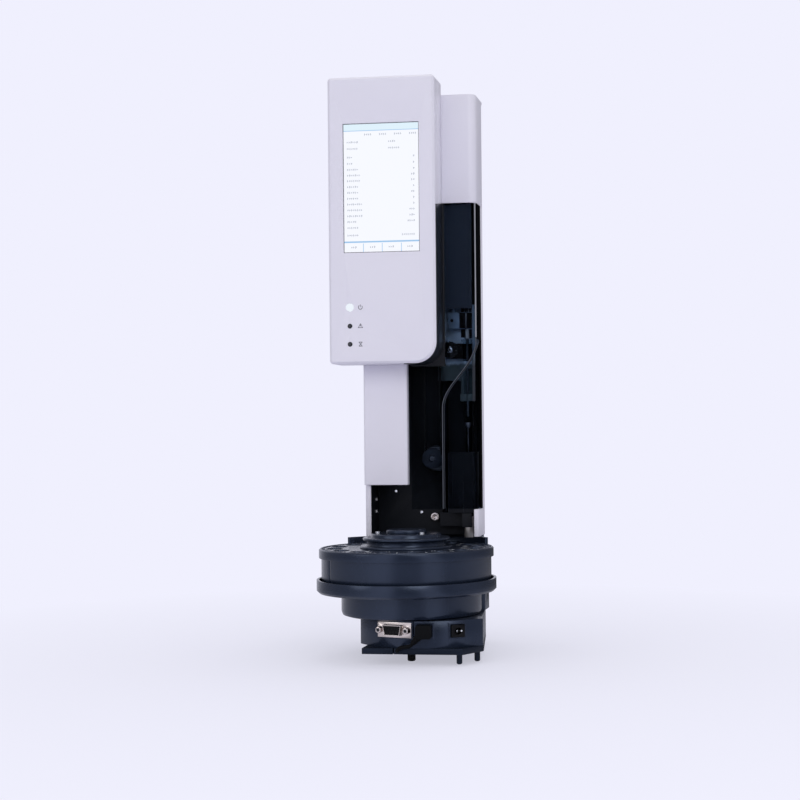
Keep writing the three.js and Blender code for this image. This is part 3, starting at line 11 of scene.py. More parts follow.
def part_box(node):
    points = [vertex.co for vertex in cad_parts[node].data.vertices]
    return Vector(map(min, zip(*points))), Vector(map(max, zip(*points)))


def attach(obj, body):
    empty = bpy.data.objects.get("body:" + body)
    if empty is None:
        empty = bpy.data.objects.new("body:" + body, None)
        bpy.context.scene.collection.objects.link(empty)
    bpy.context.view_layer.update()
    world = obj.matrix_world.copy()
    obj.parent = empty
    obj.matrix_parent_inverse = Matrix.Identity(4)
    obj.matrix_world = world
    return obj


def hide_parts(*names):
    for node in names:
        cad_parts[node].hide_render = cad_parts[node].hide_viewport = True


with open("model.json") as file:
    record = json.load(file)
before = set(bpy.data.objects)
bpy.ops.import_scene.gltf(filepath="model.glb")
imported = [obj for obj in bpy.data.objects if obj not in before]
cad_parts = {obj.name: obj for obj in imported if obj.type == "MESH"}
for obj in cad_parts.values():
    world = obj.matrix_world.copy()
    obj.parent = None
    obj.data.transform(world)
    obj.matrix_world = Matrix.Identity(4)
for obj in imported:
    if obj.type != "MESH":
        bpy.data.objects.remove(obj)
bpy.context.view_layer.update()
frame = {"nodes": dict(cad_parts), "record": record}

bl_info = {
    "name": "Liquid autosampler",
    "version": (1, 0, 0),
    "blender": (4, 5, 0),
    "location": "3D View > Sidebar > Autosampler",
    "description": "Finishes, fasteners, markings, display and lead of a liquid autosampler",
    "category": "Object",
}

MM = 0.001


def millimetres(*sizes):
    """Sizes in millimetres as metres."""
    return tuple(size * MM for size in sizes)


def middle_of(node):
    """The middle of a CAD node's box."""
    return sum(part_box(node), Vector()) / 2


AXIS = middle_of("turret_cap")
STATION = middle_of("needle_guide")
DECK_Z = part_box("turret_hub")[0].z
FACE_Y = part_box("head_front_bezel")[0].y
PANE_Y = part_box("touch_screen")[0].y


def linear(red, green, blue):
    """A screen colour, 0 to 255, as the linear colour that the shaders take."""
    parts = (red / 255, green / 255, blue / 255)
    return tuple(p / 12.92 if p <= 0.04045 else ((p + 0.055) / 1.055) ** 2.4 for p in parts)


# Sizes and colours that a user would change


def colour_of(label, text, *colour):
    return FloatVectorProperty(
        name=label, description=text, default=linear(*colour), subtype="COLOR", size=3, min=0, max=1
    )


def length_of(label, text, length):
    return FloatProperty(
        name=label, description=text, default=length * MM, subtype="DISTANCE", unit="LENGTH", min=0
    )


def power_of(label, text, watts):
    return FloatProperty(name=label, description=text, default=watts, subtype="POWER", min=0)


def level_of(label, text, level, most=1):
    return FloatProperty(name=label, description=text, default=level, min=0, max=most)


def count_of(label, text, count, least, most):
    return IntProperty(name=label, description=text, default=count, min=least, max=most)


class AutosamplerColours(PropertyGroup):
    shell: colour_of("Shell", "Powder coat of the tower and the head", 216, 214, 227)
    moulding: colour_of("Moulding", "Dark plastic of the base, tray and turret", 23, 30, 45)
    sheet: colour_of("Black sheet", "Black coat of the chassis", 24, 26, 32)
    door: colour_of("Door", "Tint of the smoked door", 132, 143, 154)
    door_light: colour_of("Light through the door", "Tint of the light that the door lets in", 226, 230, 236)
    page: colour_of("Page", "Paper white of the display", 246, 248, 255)
    bar: colour_of("Bar", "Title bar of the display", 222, 240, 250)
    line: colour_of("Line", "Blue lines of the display", 150, 194, 232)
    ink: colour_of("Ink", "Grey writing marks of the display", 150, 158, 172)
    print_ink: colour_of("Print", "Printed marks beside the lamps", 66, 66, 76)
    deck_ink: colour_of("Deck print", "Numbers round the turret", 206, 210, 220)


class AutosamplerFasteners(PropertyGroup):
    hub_radius: length_of("Hub screw radius", "Radius of the slotted screws on the hub", 2.1)
    hub_height: length_of("Hub screw height", "Height of their heads", 1.8)
    hub_circle: length_of("Hub screw circle", "Distance from the turret's axis", 23.6)
    hub_count: count_of("Hub screws", "Screws on the hub", 3, 1, 12)
    hub_start: FloatProperty(
        name="Hub start", description="Angle of the first screw", default=math.radians(75), subtype="ANGLE"
    )
    plate_radius: length_of("Chassis screw radius", "Radius of the screws on the black plate", 1.15)
    plate_height: length_of("Chassis screw height", "Height of their heads", 1.2)
    case_radius: length_of("Case screw radius", "Radius of the screws of base and head", 2.2)
    case_height: length_of("Case screw height", "Height of their heads", 1.3)


class AutosamplerMarks(PropertyGroup):
    numeral: length_of("Numeral height", "Height of the numbers round the turret", 4.2)
    numeral_circle: length_of("Numeral circle", "Distance of the numbers from the axis", 49.5)
    film: length_of("Print thickness", "Thickness of printed marks", 0.05)
    wells: count_of("Wells", "Vial wells round the turret", 16, 4, 60)
    ribs: count_of("Rim ribs", "Small ribs round the turret's rim", 96, 12, 240)
    graduations: count_of("Graduations", "Lines on the syringe", 26, 2, 80)


class AutosamplerLead(PropertyGroup):
    diameter: length_of("Lead diameter", "Thickness of the jumper lead", 3.0)
    points: count_of("Lead points", "Points along the lead", 36, 15, 40)


class AutosamplerStudio(PropertyGroup):
    backdrop: colour_of("Backdrop", "Colour behind and below the object", 240, 240, 254)
    pale: level_of("Pale floor", "How far the floor's own light hides the shadow", 0.5)
    gap: level_of("Gap", "Light between the two front boxes, as gloss sees it", 0.12)
    side: level_of("Sides", "Light from the sides, as gloss sees it", 0.3)
    sky: level_of("Sky", "Strength of the even light", 0.72, most=4)
    key: power_of("Key", "Power of the front lamp", 10.8)
    fill: power_of("Fill", "Power of the left lamp", 3.2)
    top: power_of("Top", "Power of the top lamp", 5.0)


def settings(group):
    return getattr(bpy.context.scene, "autosampler_" + group)


# Node making

SOCKET_KINDS = {float: "Float", int: "Int", bool: "Bool", tuple: "Vector"}


def new_group(name, kind, inputs, outputs):
    """An empty node group: each of its sockets is given by its default value, or by its kind."""
    group = bpy.data.node_groups.new(name, kind)
    for side, sockets in (("INPUT", inputs), ("OUTPUT", outputs)):
        for label, value in sockets.items():
            socket_kind = "NodeSocket" + SOCKET_KINDS.get(type(value), str(value))
            socket = group.interface.new_socket(label, in_out=side, socket_type=socket_kind)
            if not isinstance(value, str):
                socket.default_value = value
    return group, group.nodes.new("NodeGroupInput").outputs, group.nodes.new("NodeGroupOutput")


def fill(tree, made, **inputs):
    """Sets a node's inputs to values, or links them to sockets or to the first sockets of nodes."""
    for key, value in inputs.items():
        spot = int(key[1:]) if key[0] == "i" and key[1:].isdigit() else key.replace("_", " ")
        if isinstance(value, bpy.types.Node):
            value = value.outputs[0]
        if isinstance(value, bpy.types.NodeSocket):
            tree.links.new(value, made.inputs[spot])
        else:
            made.inputs[spot].default_value = value
    return made


def step(tree, kind, options=None, **inputs):
    """A node with its options and its inputs."""
    made = tree.nodes.new(kind)
    for key, value in (options or {}).items():
        setattr(made, key, value)
    return fill(tree, made, **inputs)


def maths(tree, operation, first, second=0.0, clamp=False):
    return step(tree, "ShaderNodeMath", {"operation": operation, "use_clamp": clamp}, i0=first, i1=second)


def vector_maths(tree, operation, first, second=(0.0, 0.0, 0.0)):
    return step(tree, "ShaderNodeVectorMath", {"operation": operation}, i0=first, i1=second)


def dot(tree, first, second):
    return vector_maths(tree, "DOT_PRODUCT", first, second).outputs["Value"]


def object_place(tree):
    return tree.nodes.new("ShaderNodeTexCoord").outputs["Object"]


def height_of(tree, vector):
    return step(tree, "ShaderNodeSeparateXYZ", Vector=vector).outputs["Z"]


def noise(tree, scale, detail, roughness=0.5, place=None):
    """Soft noise, on object coordinates unless others are given."""
    place = place or object_place(tree)
    return step(tree, "ShaderNodeTexNoise", Vector=place, Scale=scale, Detail=detail, Roughness=roughness)


def stripes(tree, axis, scale, distortion=0.0):
    """Even stripes along an axis of the object's coordinates."""
    wave = step(tree, "ShaderNodeTexWave", {"bands_direction": axis}, Scale=scale, Distortion=distortion)
    return fill(tree, wave, Vector=object_place(tree)).outputs["Fac"]


def mix_colour(tree, share, first, second):
    """A colour between two, which are colours or sockets."""
    pair = [value if isinstance(value, bpy.types.NodeSocket) else (*value, 1.0) for value in (first, second)]
    return step(tree, "ShaderNodeMix", {"data_type": "RGBA"}, i0=share, i6=pair[0], i7=pair[1]).outputs[2]


def use_group(tree, name, **inputs):
    """A shared effect placed in a material, with its own values."""
    return step(tree, "ShaderNodeGroup", {"node_tree": bpy.data.node_groups[name]}, **inputs)


# Effects that the finishes share

SURFACE = {"Height": "Float", "Tone": "Float"}


def grain_group():
    """Fine and coarse grain, as a height and a slow tone."""
    sizes = {"Scale": 1800.0, "Coarse": 0.3}
    group, given, leave = new_group("Moulded grain", "ShaderNodeTree", sizes, SURFACE)
    fine = noise(group, given["Scale"], 3.0)
    coarse = noise(group, maths(group, "MULTIPLY", given["Scale"], 0.12), 2.0)
    blend = step(group, "ShaderNodeMix", i0=given["Coarse"], i2=fine, i3=coarse)
    fill(group, leave, Height=blend, Tone=noise(group, 22.0, 4.0, 0.6))


def edge_group():
    """Rounded edge normals, and a mask of the edges that hands and tools rub."""
    sizes, results = {"Radius": 0.0008, "Amount": 0.5}, {"Normal": "Vector", "Mask": "Float"}
    group, given, leave = new_group("Worn edges", "ShaderNodeTree", sizes, results)
    rounded = step(group, "ShaderNodeBevel", {"samples": 4}, Radius=given["Radius"])
    flat = group.nodes.new("ShaderNodeNewGeometry").outputs["Normal"]
    off = maths(group, "SUBTRACT", 1.0, dot(group, rounded, flat))
    strong = maths(group, "MULTIPLY", maths(group, "MULTIPLY", off, 5.0), noise(group, 120.0, 3.0))
    fill(group, leave, Normal=rounded, Mask=maths(group, "MULTIPLY", strong, given["Amount"], clamp=True))


def dust_group():
    """A thin settling of dust on faces that look up."""
    group, given, leave = new_group("Settled dust", "ShaderNodeTree", {"Amount": 0.1}, {"Mask": "Float"})
    up = height_of(group, group.nodes.new("ShaderNodeNewGeometry").outputs["Normal"])
    above = maths(group, "MULTIPLY", maths(group, "MAXIMUM", up, 0.0), noise(group, 65.0, 6.0, 0.7))
    fill(group, leave, Mask=maths(group, "MULTIPLY", above, given["Amount"], clamp=True))


def brushed_group():
    """Long fine scratches along one axis, as drawn or turned metal shows."""
    stretch = {"Stretch": (400.0, 400.0, 9000.0)}
    group, given, leave = new_group("Drawn lines", "ShaderNodeTree", stretch, SURFACE)
    spread = vector_maths(group, "MULTIPLY", object_place(group), given["Stretch"])
    fill(group, leave, Height=noise(group, 1.0, 2.0, place=spread), Tone=noise(group, 60.0, 3.0))


# Finishes

DUST = (176, 176, 184)
BUMP_STRENGTH = 0.35
ROUGH_SPREAD = 0.12
COAT_ROUGHNESS = 0.12
BORDER_SCALE, BORDER_DEPTH = 300.0, 0.006
SHEET_SCALE, SHEET_WAVE = 190.0, 0.4
WIPE_SCALE, WIPE_DEPTH = 260.0, 0.03
LAMP_COVER, LAMP_SCALE = ((20, 20, 24), (26, 26, 30)), 900.0
PIXEL_GAP, PIXEL_SCALE, PIXEL_FADE = (190, 200, 215), 2600.0, 0.05


def new_material(name):
    """The node tree and the shader of a new material."""
    material = bpy.data.materials.new(name)
    material.use_nodes = True
    return material.node_tree, material.node_tree.nodes["Principled BSDF"]


def scaled(colour, factor):
    return tuple(min(1.0, part * factor) for part in colour)


def by_height(tree, low, high, below, above):
    """A colour that turns from one to another between two heights, with a soft uneven border."""
    cloud = maths(tree, "MULTIPLY", noise(tree, BORDER_SCALE, 3.0), BORDER_DEPTH)
    level = maths(tree, "ADD", height_of(tree, object_place(tree)), cloud)
    share = step(tree, "ShaderNodeMapRange", Value=level, From_Min=low, From_Max=high)
    return mix_colour(tree, share, below, above)


def finish(
    name, colour, rough, pattern, depth, tone=0.08, metal=0.0, edge=0.0, wear=0.0, worn=None, dust=0.0,
    coat=0.0, ior=1.45, tint=(255, 255, 255), lower=None, sheets=None,
):
    """A finish with grain or drawn lines, slow tone, worn edges and dust. Lower gives it a second colour
    below two heights, and sheets give it the stripes of laminated steel."""
    tree, shader = new_material(name)
    if isinstance(pattern, tuple):
        surface = use_group(tree, "Drawn lines", Stretch=pattern)
    else:
        surface = use_group(tree, "Moulded grain", Scale=pattern)
    slow, height = surface.outputs["Tone"], surface.outputs["Height"]
    shade = mix_colour(tree, slow, scaled(colour, 1 - tone), scaled(colour, 1 + tone))
    bump = step(tree, "ShaderNodeBump", Strength=BUMP_STRENGTH, Distance=depth * MM, Height=height)
    if edge:
        rounded = use_group(tree, "Worn edges", Radius=edge * MM, Amount=wear)
        fill(tree, bump, Normal=rounded.outputs["Normal"])
        if wear:
            bare = linear(*worn) if worn else scaled(colour, 1.6)
            shade = mix_colour(tree, rounded.outputs["Mask"], shade, bare)
    if dust:
        settled = use_group(tree, "Settled dust", Amount=dust)
        shade = mix_colour(tree, settled.outputs["Mask"], shade, linear(*DUST))
    if lower:
        shade = by_height(tree, *lower[:2], linear(*lower[2]), colour)
    if sheets:
        share = stripes(tree, "Z", SHEET_SCALE, SHEET_WAVE)
        shade = mix_colour(tree, share, linear(*sheets[0]), linear(*sheets[1]))
    spread = maths(tree, "MULTIPLY", maths(tree, "SUBTRACT", slow, 0.5), ROUGH_SPREAD)
    roughness = maths(tree, "ADD", spread, rough, clamp=True)
    fill(tree, shader, Base_Color=shade, Roughness=roughness, Normal=bump, Metallic=metal, IOR=ior)
    fill(tree, shader, Specular_Tint=(*linear(*tint), 1.0), Coat_Weight=coat, Coat_Roughness=COAT_ROUGHNESS)


def clear_finish(name, colour, rough, ior, let_in):
    """A clear plastic or glass with faint wipe marks in its gloss, and the tint of the light it lets in."""
    tree, shader = new_material(name)
    slow = use_group(tree, "Moulded grain", Scale=WIPE_SCALE).outputs["Tone"]
    shade = mix_colour(tree, slow, scaled(colour, 0.96), scaled(colour, 1.04))
    wiped = maths(tree, "ADD", maths(tree, "MULTIPLY", slow, WIPE_DEPTH), rough, clamp=True)
    fill(tree, shader, Base_Color=shade, Roughness=wiped, Transmission_Weight=1.0, IOR=ior)
    open_way = step(tree, "ShaderNodeBsdfTransparent", Color=(*let_in, 1.0))
    path = tree.nodes.new("ShaderNodeLightPath").outputs
    scattered = maths(tree, "MAXIMUM", path["Is Diffuse Ray"], path["Is Glossy Ray"])
    shadow = maths(tree, "MAXIMUM", path["Is Shadow Ray"], scattered)
    both = step(tree, "ShaderNodeMixShader", i0=shadow, i1=shader, i2=open_way)
    fill(tree, tree.nodes["Material Output"], Surface=both)


def lamp_finish(name, colour, strength):
    """A lit lamp: its own light, a little uneven, behind a smooth cover."""
    tree, shader = new_material(name)
    slow = use_group(tree, "Moulded grain", Scale=LAMP_SCALE).outputs["Tone"]
    cover = mix_colour(tree, slow, linear(*LAMP_COVER[0]), linear(*LAMP_COVER[1]))
    glow = mix_colour(tree, slow, scaled(colour, 0.97), colour)
    fill(tree, shader, Base_Color=cover, Emission_Color=glow, Emission_Strength=strength, Roughness=0.25)


def page_finish(name, strength):
    """The lit page of the display: its colours are stored on its faces, over a fine pixel grid."""
    tree, shader = new_material(name)
    stored = step(tree, "ShaderNodeAttribute", {"attribute_name": "page_colour"})
    fade = maths(tree, "MULTIPLY", stripes(tree, "X", PIXEL_SCALE), PIXEL_FADE)
    lit = mix_colour(tree, fade, stored.outputs["Color"], linear(*PIXEL_GAP))
    dark = (0.01, 0.01, 0.012, 1)
    fill(tree, shader, Base_Color=dark, Emission_Color=lit, Emission_Strength=strength, Roughness=0.18)


COOL = (204, 222, 255)
TURNED, DRAWN, MILLED, ROLLED = (500, 500, 2500), (600, 900, 2400), (700, 2600, 700), (2600, 600, 600)

# Name, colour or the setting that holds it, roughness, scale of the grain or stretch of drawn lines, depth,
# tone, then the rest. Depth and edge are in millimetres, the heights of a lower colour in metres
FINISHES = [
    ("white shell", "shell", 0.46, 2600, 0.03, 0.02, dict(edge=0.6, dust=0.05, wear=0.05)),
    ("dark moulding", "moulding", 0.24, 2200, 0.02, 0.1,
     dict(edge=0.5, wear=0.3, worn=(66, 74, 92), dust=0.04, ior=1.6, tint=COOL)),
    ("black sheet", "sheet", 0.5, 1400, 0.008, 0.12, dict(edge=0.4, wear=0.4, worn=(60, 62, 70), ior=1.25)),
    ("slate sheet", (60, 67, 80), 0.5, 2600, 0.03, 0.12,
     dict(edge=0.4, wear=0.3, worn=(84, 90, 102), ior=1.2)),
    # Dark trim: it lines the head, and it also paints the shade on the door ridge's step and highlight lines
    # on the shroud's edges
    ("ridge trim", (30, 34, 42), 0.3, 1800, 0.01, 0.1, dict(ior=1.35)),
    # Light grey of the bead that paints the highlight on the door's rounded front corner
    ("corner line", (148, 150, 158), 0.3, 1800, 0.01, 0.06, dict(ior=1.4)),
    # Grey of the beads that paint highlight lines along the door's S-shaped ridge
    ("ridge line", (92, 96, 106), 0.3, 1800, 0.01, 0.06, dict(ior=1.4)),
    ("dark alloy", (46, 52, 62), 0.36, MILLED, 0.01, 0.08,
     dict(metal=0.5, edge=0.4, wear=0.3, worn=(96, 102, 112))),
    ("polished black", (12, 12, 15), 0.14, 1600, 0.01, 0.2, dict(coat=0.6, edge=0.3)),
    ("cable rubber", (7, 8, 12), 0.55, 1500, 0.05, 0.2, dict(ior=1.2)),
    # White plastic; on the plunger's collar it stands as a painted glint
    ("white plastic", (214, 218, 224), 0.35, 1500, 0.01, 0.03, {}),
    ("black plastic", (10, 10, 14), 0.38, 2400, 0.03, 0.15,
     dict(ior=1.22, edge=0.3, wear=0.3, worn=(60, 62, 70))),
    ("black rubber", (16, 16, 18), 0.78, 1500, 0.08, 0.2, dict(dust=0.1)),
    ("bush steel", (186, 182, 180), 0.34, TURNED, 0.01, 0.08, dict(metal=0.85, edge=0.3)),
    ("nickel plate", (214, 204, 200), 0.24, 1400, 0.02, 0.06, dict(metal=1.0, edge=0.3)),
    ("bright chrome", (224, 227, 232), 0.1, TURNED, 0.004, 0.08, dict(metal=1.0, edge=0.3)),
    ("plain steel", (132, 134, 140), 0.3, ROLLED, 0.01, 0.08, dict(metal=1.0, edge=0.4)),
    ("plain alloy", (150, 155, 163), 0.38, MILLED, 0.01, 0.08,
     dict(metal=0.9, edge=0.4, wear=0.3, worn=(205, 208, 214))),
    # Chrome rods, darker below the given heights: painted shade for the dark that the rods reflect lower down
    ("rod chrome", (196, 200, 206), 0.12, TURNED, 0.004, 0.08,
     dict(metal=1.0, edge=0.3, lower=(0.238, 0.266, (34, 37, 44)))),
    ("carriage alloy", (184, 202, 222), 0.42, DRAWN, 0.012, 0.08,
     dict(metal=0.6, edge=0.4, lower=(0.2475, 0.2505, (88, 100, 102)))),
    ("strip alloy", (128, 146, 164), 0.45, DRAWN, 0.012, 0.08,
     dict(metal=0.4, edge=0.4, lower=(0.246, 0.272, (40, 46, 54)))),
    ("blue alloy", (150, 172, 196), 0.42, DRAWN, 0.012, 0.08,
     dict(metal=0.6, edge=0.4, wear=0.4, worn=(170, 180, 190))),
    ("motor body", (120, 124, 130), 0.42, 1500, 0.02, 0.08,
     dict(metal=0.85, edge=0.5, sheets=((58, 60, 66), (132, 136, 142)))),
    # Zinc plating kept light and nearly matt, so that the side screws show as bright dots from any side: a
    # painted glint
    ("zinc", (206, 206, 212), 0.36, 1600, 0.02, 0.08, dict(metal=0.25, edge=0.3)),
    ("matt black", (6, 6, 9), 0.7, 1500, 0.02, 0.15, dict(ior=1.05)),
    ("dark contact", (4, 4, 5), 0.6, 1500, 0.02, 0.2, {}),
    ("deck print", "deck_ink", 0.55, 3500, 0.02, 0.12, {}),
    ("lamp print", "print_ink", 0.55, 3500, 0.02, 0.12, {}),
    ("circuit board", (24, 78, 52), 0.45, 900, 0.03, 0.25, dict(coat=0.4)),
    ("dark lamp", (34, 36, 44), 0.22, 800, 0.01, 0.2, dict(coat=0.6)),
    ("screen glass", (10, 11, 14), 0.08, 1200, 0.004, 0.1, dict(coat=0.5)),
]
SLOT_FINISHES = {
    "steel": "plain steel", "alloy": "plain alloy", "motor_black": "motor body", "board": "circuit board",
    "smoked_acrylic": "smoked door", "screen_face": "screen glass", "lamp_white": "white lamp",
    "lamp_dark": "dark lamp",
}


def finish_of(slot):
    """The finish of a material slot. Most have the same name."""
    return SLOT_FINISHES.get(slot, slot.replace("_", " "))


def build_finishes():
    for make in (grain_group, edge_group, dust_group, brushed_group):
        make()
    c = settings("colours")
    for name, colour, rough, pattern, depth, tone, rest in FINISHES:
        colour = getattr(c, colour) if isinstance(colour, str) else linear(*colour)
        finish(name, colour, rough, pattern, depth, tone, **rest)
    finish("plate moulding", scaled(c.moulding, 0.62), 0.4, 2200, 0.02, 0.1, edge=0.5, wear=0.2,
           worn=(52, 60, 76), ior=1.35, tint=COOL)
    clear = linear(238, 244, 246)
    clear_finish("smoked door", c.door, 0.0, 1.06, c.door_light)
    clear_finish("clear glass", clear, 0.01, 1.47, clear)
    lamp_finish("white lamp", linear(240, 247, 255), 0.95)
    page_finish("lit page", 0.98)


# Mesh making

SHARP_ANGLE = 32
ROUNDED_ANGLE = 34
MERGE_DISTANCE = 0.004
FLAT_ANGLE = 0.6
LATHE_SIDES = 40


def node_slots():
    """The material slot of each CAD node, as the record gives it."""
    return {entry["node"]: entry["material_slot"] for entry in frame["record"]["subparts"]}


def body_named(node):
    for body, members in frame["record"]["behaviour"]["bodies"].items():
        if node in members:
            return body
    raise RuntimeError(f"no body holds {node}")


def into_scene(name, data):
    thing = bpy.data.objects.new(name, data)
    bpy.context.scene.collection.objects.link(thing)
    return thing


def link(name, mesh, material, body, slot=None):
    """A piece at the origin, with its finish, riding on a body."""
    piece = into_scene(name, mesh)
    mesh.materials.clear()
    mesh.materials.append(bpy.data.materials[material])
    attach(piece, body)
    return piece


def mesh_of(builder, name):
    mesh = bpy.data.meshes.new(name)
    builder.to_mesh(mesh)
    builder.free()
    return mesh


def plain_mesh(holder, all_layers=False):
    """What an object comes to, as a plain mesh. The object goes."""
    graph = bpy.context.evaluated_depsgraph_get()
    done = holder.evaluated_get(graph)
    mesh = bpy.data.meshes.new_from_object(done, preserve_all_data_layers=all_layers, depsgraph=graph)
    bpy.data.objects.remove(holder)
    return mesh


def smooth(mesh, degrees=SHARP_ANGLE):
    for face in mesh.polygons:
        face.use_smooth = True
    mesh.set_sharp_from_angle(angle=math.radians(degrees))


def rounded_mesh(mesh, width, segments=2, miter="MITER_SHARP"):
    """A mesh with its sharp edges rounded, the width in millimetres."""
    holder = into_scene(mesh.name + "_raw", mesh)
    bevel = holder.modifiers.new("Rounded edges", "BEVEL")
    bevel.width = width * MM
    bevel.segments = segments
    bevel.limit_method = "ANGLE"
    bevel.angle_limit = math.radians(ROUNDED_ANGLE)
    bevel.use_clamp_overlap = True
    bevel.miter_outer = miter
    return plain_mesh(holder)


def folded_area(mesh):
    """The area of the triangles that face away from the polygon they fill."""
    mesh.calc_loop_triangles()
    total = 0.0
    for triangle in mesh.loop_triangles:
        a, b, c = (mesh.vertices[i].co for i in triangle.vertices)
        across = (b - a).cross(c - a)
        if across.dot(mesh.polygons[triangle.polygon_index].normal) < 0:
            total += across.length / 2
    return total


def rounded_copy(node, width, segments, joined):
    """A CAD node's mesh, merged and with its edges rounded, its flat triangles joined first if asked."""
    builder = bmesh.new()
    builder.from_mesh(frame["nodes"][node].data)
    bmesh.ops.remove_doubles(builder, verts=builder.verts, dist=MERGE_DISTANCE * MM)
    if joined:
        bmesh.ops.dissolve_limit(
            builder, angle_limit=math.radians(FLAT_ANGLE), verts=builder.verts, edges=builder.edges,
            use_dissolve_boundaries=False,
        )
    return rounded_mesh(mesh_of(builder, node), width, segments, "MITER_ARC")


def refine(node, name, material, width, segments=2, degrees=SHARP_ANGLE):
    """A finished piece in place of a CAD node: the same shape with rounded edges and smooth curves. Of two
    rounded copies it is the one whose faces fold least, because a face with a hole can fold when filled."""
    mesh = min((rounded_copy(node, width, segments, joined) for joined in (True, False)), key=folded_area)
    smooth(mesh, degrees)
    piece = link(name, mesh, material, body_named(node), node_slots().get(node))
    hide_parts(node)
    return piece


def rectangle(left, low, right, high):
    return [(left, low), (right, low), (right, high), (left, high)]


def prism_into(builder, outline, low, high, axis="Y"):
    """A closed prism in millimetres: an outline of X and Z run along Y, or of X and Y run along Z."""
    def ends(level):
        for x, other in outline:
            place = (x, level, other) if axis == "Y" else (x, other, level)
            yield builder.verts.new(Vector(place) * MM)
    near, far = list(ends(low)), list(ends(high))
    faces = [builder.faces.new(near), builder.faces.new(list(reversed(far)))]
    for i in range(len(outline)):
        k = (i + 1) % len(outline)
        faces.append(builder.faces.new([near[k], near[i], far[i], far[k]]))
    bmesh.ops.recalc_face_normals(builder, faces=faces)


def lathe_into(builder, profile, centre):
    """A closed ring of revolution about an upright axis: its profile is radius and height in millimetres."""
    loops = []
    for i in range(LATHE_SIDES):
        angle = 2 * math.pi * i / LATHE_SIDES
        spots = [(centre[0] + r * math.cos(angle), centre[1] + r * math.sin(angle), z) for r, z in profile]
        loops.append([builder.verts.new(millimetres(*spot)) for spot in spots])
    faces = []
    for first, second in zip(loops, loops[1:] + loops[:1]):
        for k in range(len(profile)):
            n = (k + 1) % len(profile)
            faces.append(builder.faces.new([first[k], second[k], second[n], first[n]]))
    bmesh.ops.recalc_face_normals(builder, faces=faces)


def fitted(name, builder, material, body, slot, width=0.15):
    """A trim piece from a builder, its sharp edges rounded a little."""
    mesh = rounded_mesh(mesh_of(builder, name), width)
    smooth(mesh)
    return link(name, mesh, material, body, slot)


def fitted_prism(name, outline, low, high, material, body, slot, axis="Y", width=0.15):
    builder = bmesh.new()
    prism_into(builder, outline, low, high, axis)
    return fitted(name, builder, material, body, slot, width)


def ring_points(count, radius, centre, z, start=0.0):
    angles = [start + 2 * math.pi * i / count for i in range(count)]
    return [Vector((centre.x + radius * math.cos(a), centre.y + radius * math.sin(a), z)) for a in angles]


def arc_points(x, z, radius, start, sweep, count=14):
    """Points on an arc about a centre, as X and Z. The angles are in degrees."""
    angles = [math.radians(start + sweep * i / count) for i in range(count + 1)]
    return [(x + radius * math.cos(angle), z + radius * math.sin(angle)) for angle in angles]


# Geometry node trees


def geometry_tree(name, inputs):
    sockets = {"Geometry": "Geometry", **inputs, "Material": "Material"}
    return new_group(name, "GeometryNodeTree", sockets, {"Geometry": "Geometry"})


def close_tree(group, given, leave, instances):
    """Every tree ends in real geometry with its material set."""
    real = step(group, "GeometryNodeRealizeInstances", Geometry=instances)
    painted = step(group, "GeometryNodeSetMaterial", Geometry=real, Material=given["Material"])
    fill(group, leave, Geometry=painted)


def vector_of(group, **parts):
    return step(group, "ShaderNodeCombineXYZ", **parts)


def moved(group, geometry, **parts):
    return step(group, "GeometryNodeTransform", Geometry=geometry, Translation=vector_of(group, **parts))


def on_points(group, points, instance, facing):
    return step(group, "GeometryNodeInstanceOnPoints", Points=points, Instance=instance, Rotation=facing)


def product(group, first, second):
    return maths(group, "MULTIPLY", first, second)


def choice(group, kind, which, when_not, when_so):
    return step(group, "GeometryNodeSwitch", {"input_type": kind}, i0=which, i1=when_not, i2=when_so)


def aimed(group, pivot, direction):
    options = {"axis": "X", "pivot_axis": pivot}
    return step(group, "FunctionNodeAlignRotationToVector", options, Vector=direction)


def wire_along(group, line, radius, resolution, **options):
    profile = step(group, "GeometryNodeCurvePrimitiveCircle", Resolution=resolution, Radius=radius)
    return step(group, "GeometryNodeCurveToMesh", Curve=line, Profile_Curve=profile, **options)


def disc(group, sides, radius, depth):
    options = {"fill_type": "NGON"}
    return step(group, "GeometryNodeMeshCylinder", options, Vertices=sides, Radius=radius, Depth=depth)


def screw_tree():
    """Screw heads on points: a round head with a slot or a socket, each turned at random."""
    group, given, leave = geometry_tree("Screw heads", {
        "Head radius": 0.0024, "Head height": 0.0015, "Recess depth": 0.0007, "Recess radius": 0.0012,
        "Recess sides": 6, "Slotted": False, "Facing": "Rotation", "Seed": 3,
    })
    radius, height, bore = given["Head radius"], given["Head height"], given["Recess radius"]
    sides, deep = given["Recess sides"], product(group, given["Recess depth"], 2.0)
    head = disc(group, 24, radius, height)
    seated = moved(group, head, Z=product(group, height, 0.5))
    socket = disc(group, sides, bore, deep)
    size = vector_of(group, X=product(group, radius, 2.4), Y=product(group, bore, 0.6), Z=deep)
    slot = step(group, "GeometryNodeMeshCube", Size=size)
    cutter = choice(group, "GEOMETRY", given["Slotted"], socket, slot)
    raised = moved(group, cutter, Z=height)
    carved = step(group, "GeometryNodeMeshBoolean", {"operation": "DIFFERENCE"}, i0=seated, i1=raised)
    spin = step(group, "FunctionNodeRandomValue", {"data_type": "FLOAT"}, i2=0.0, i3=math.pi)
    fill(group, spin, Seed=given["Seed"])
    turned = step(group, "FunctionNodeEulerToRotation", i0=vector_of(group, Z=spin.outputs[1]))
    local = {"rotation_space": "LOCAL"}
    facing = step(group, "FunctionNodeRotateRotation", local, i0=given["Facing"], i1=turned)
    close_tree(group, given, leave, on_points(group, given["Geometry"], carved, facing))


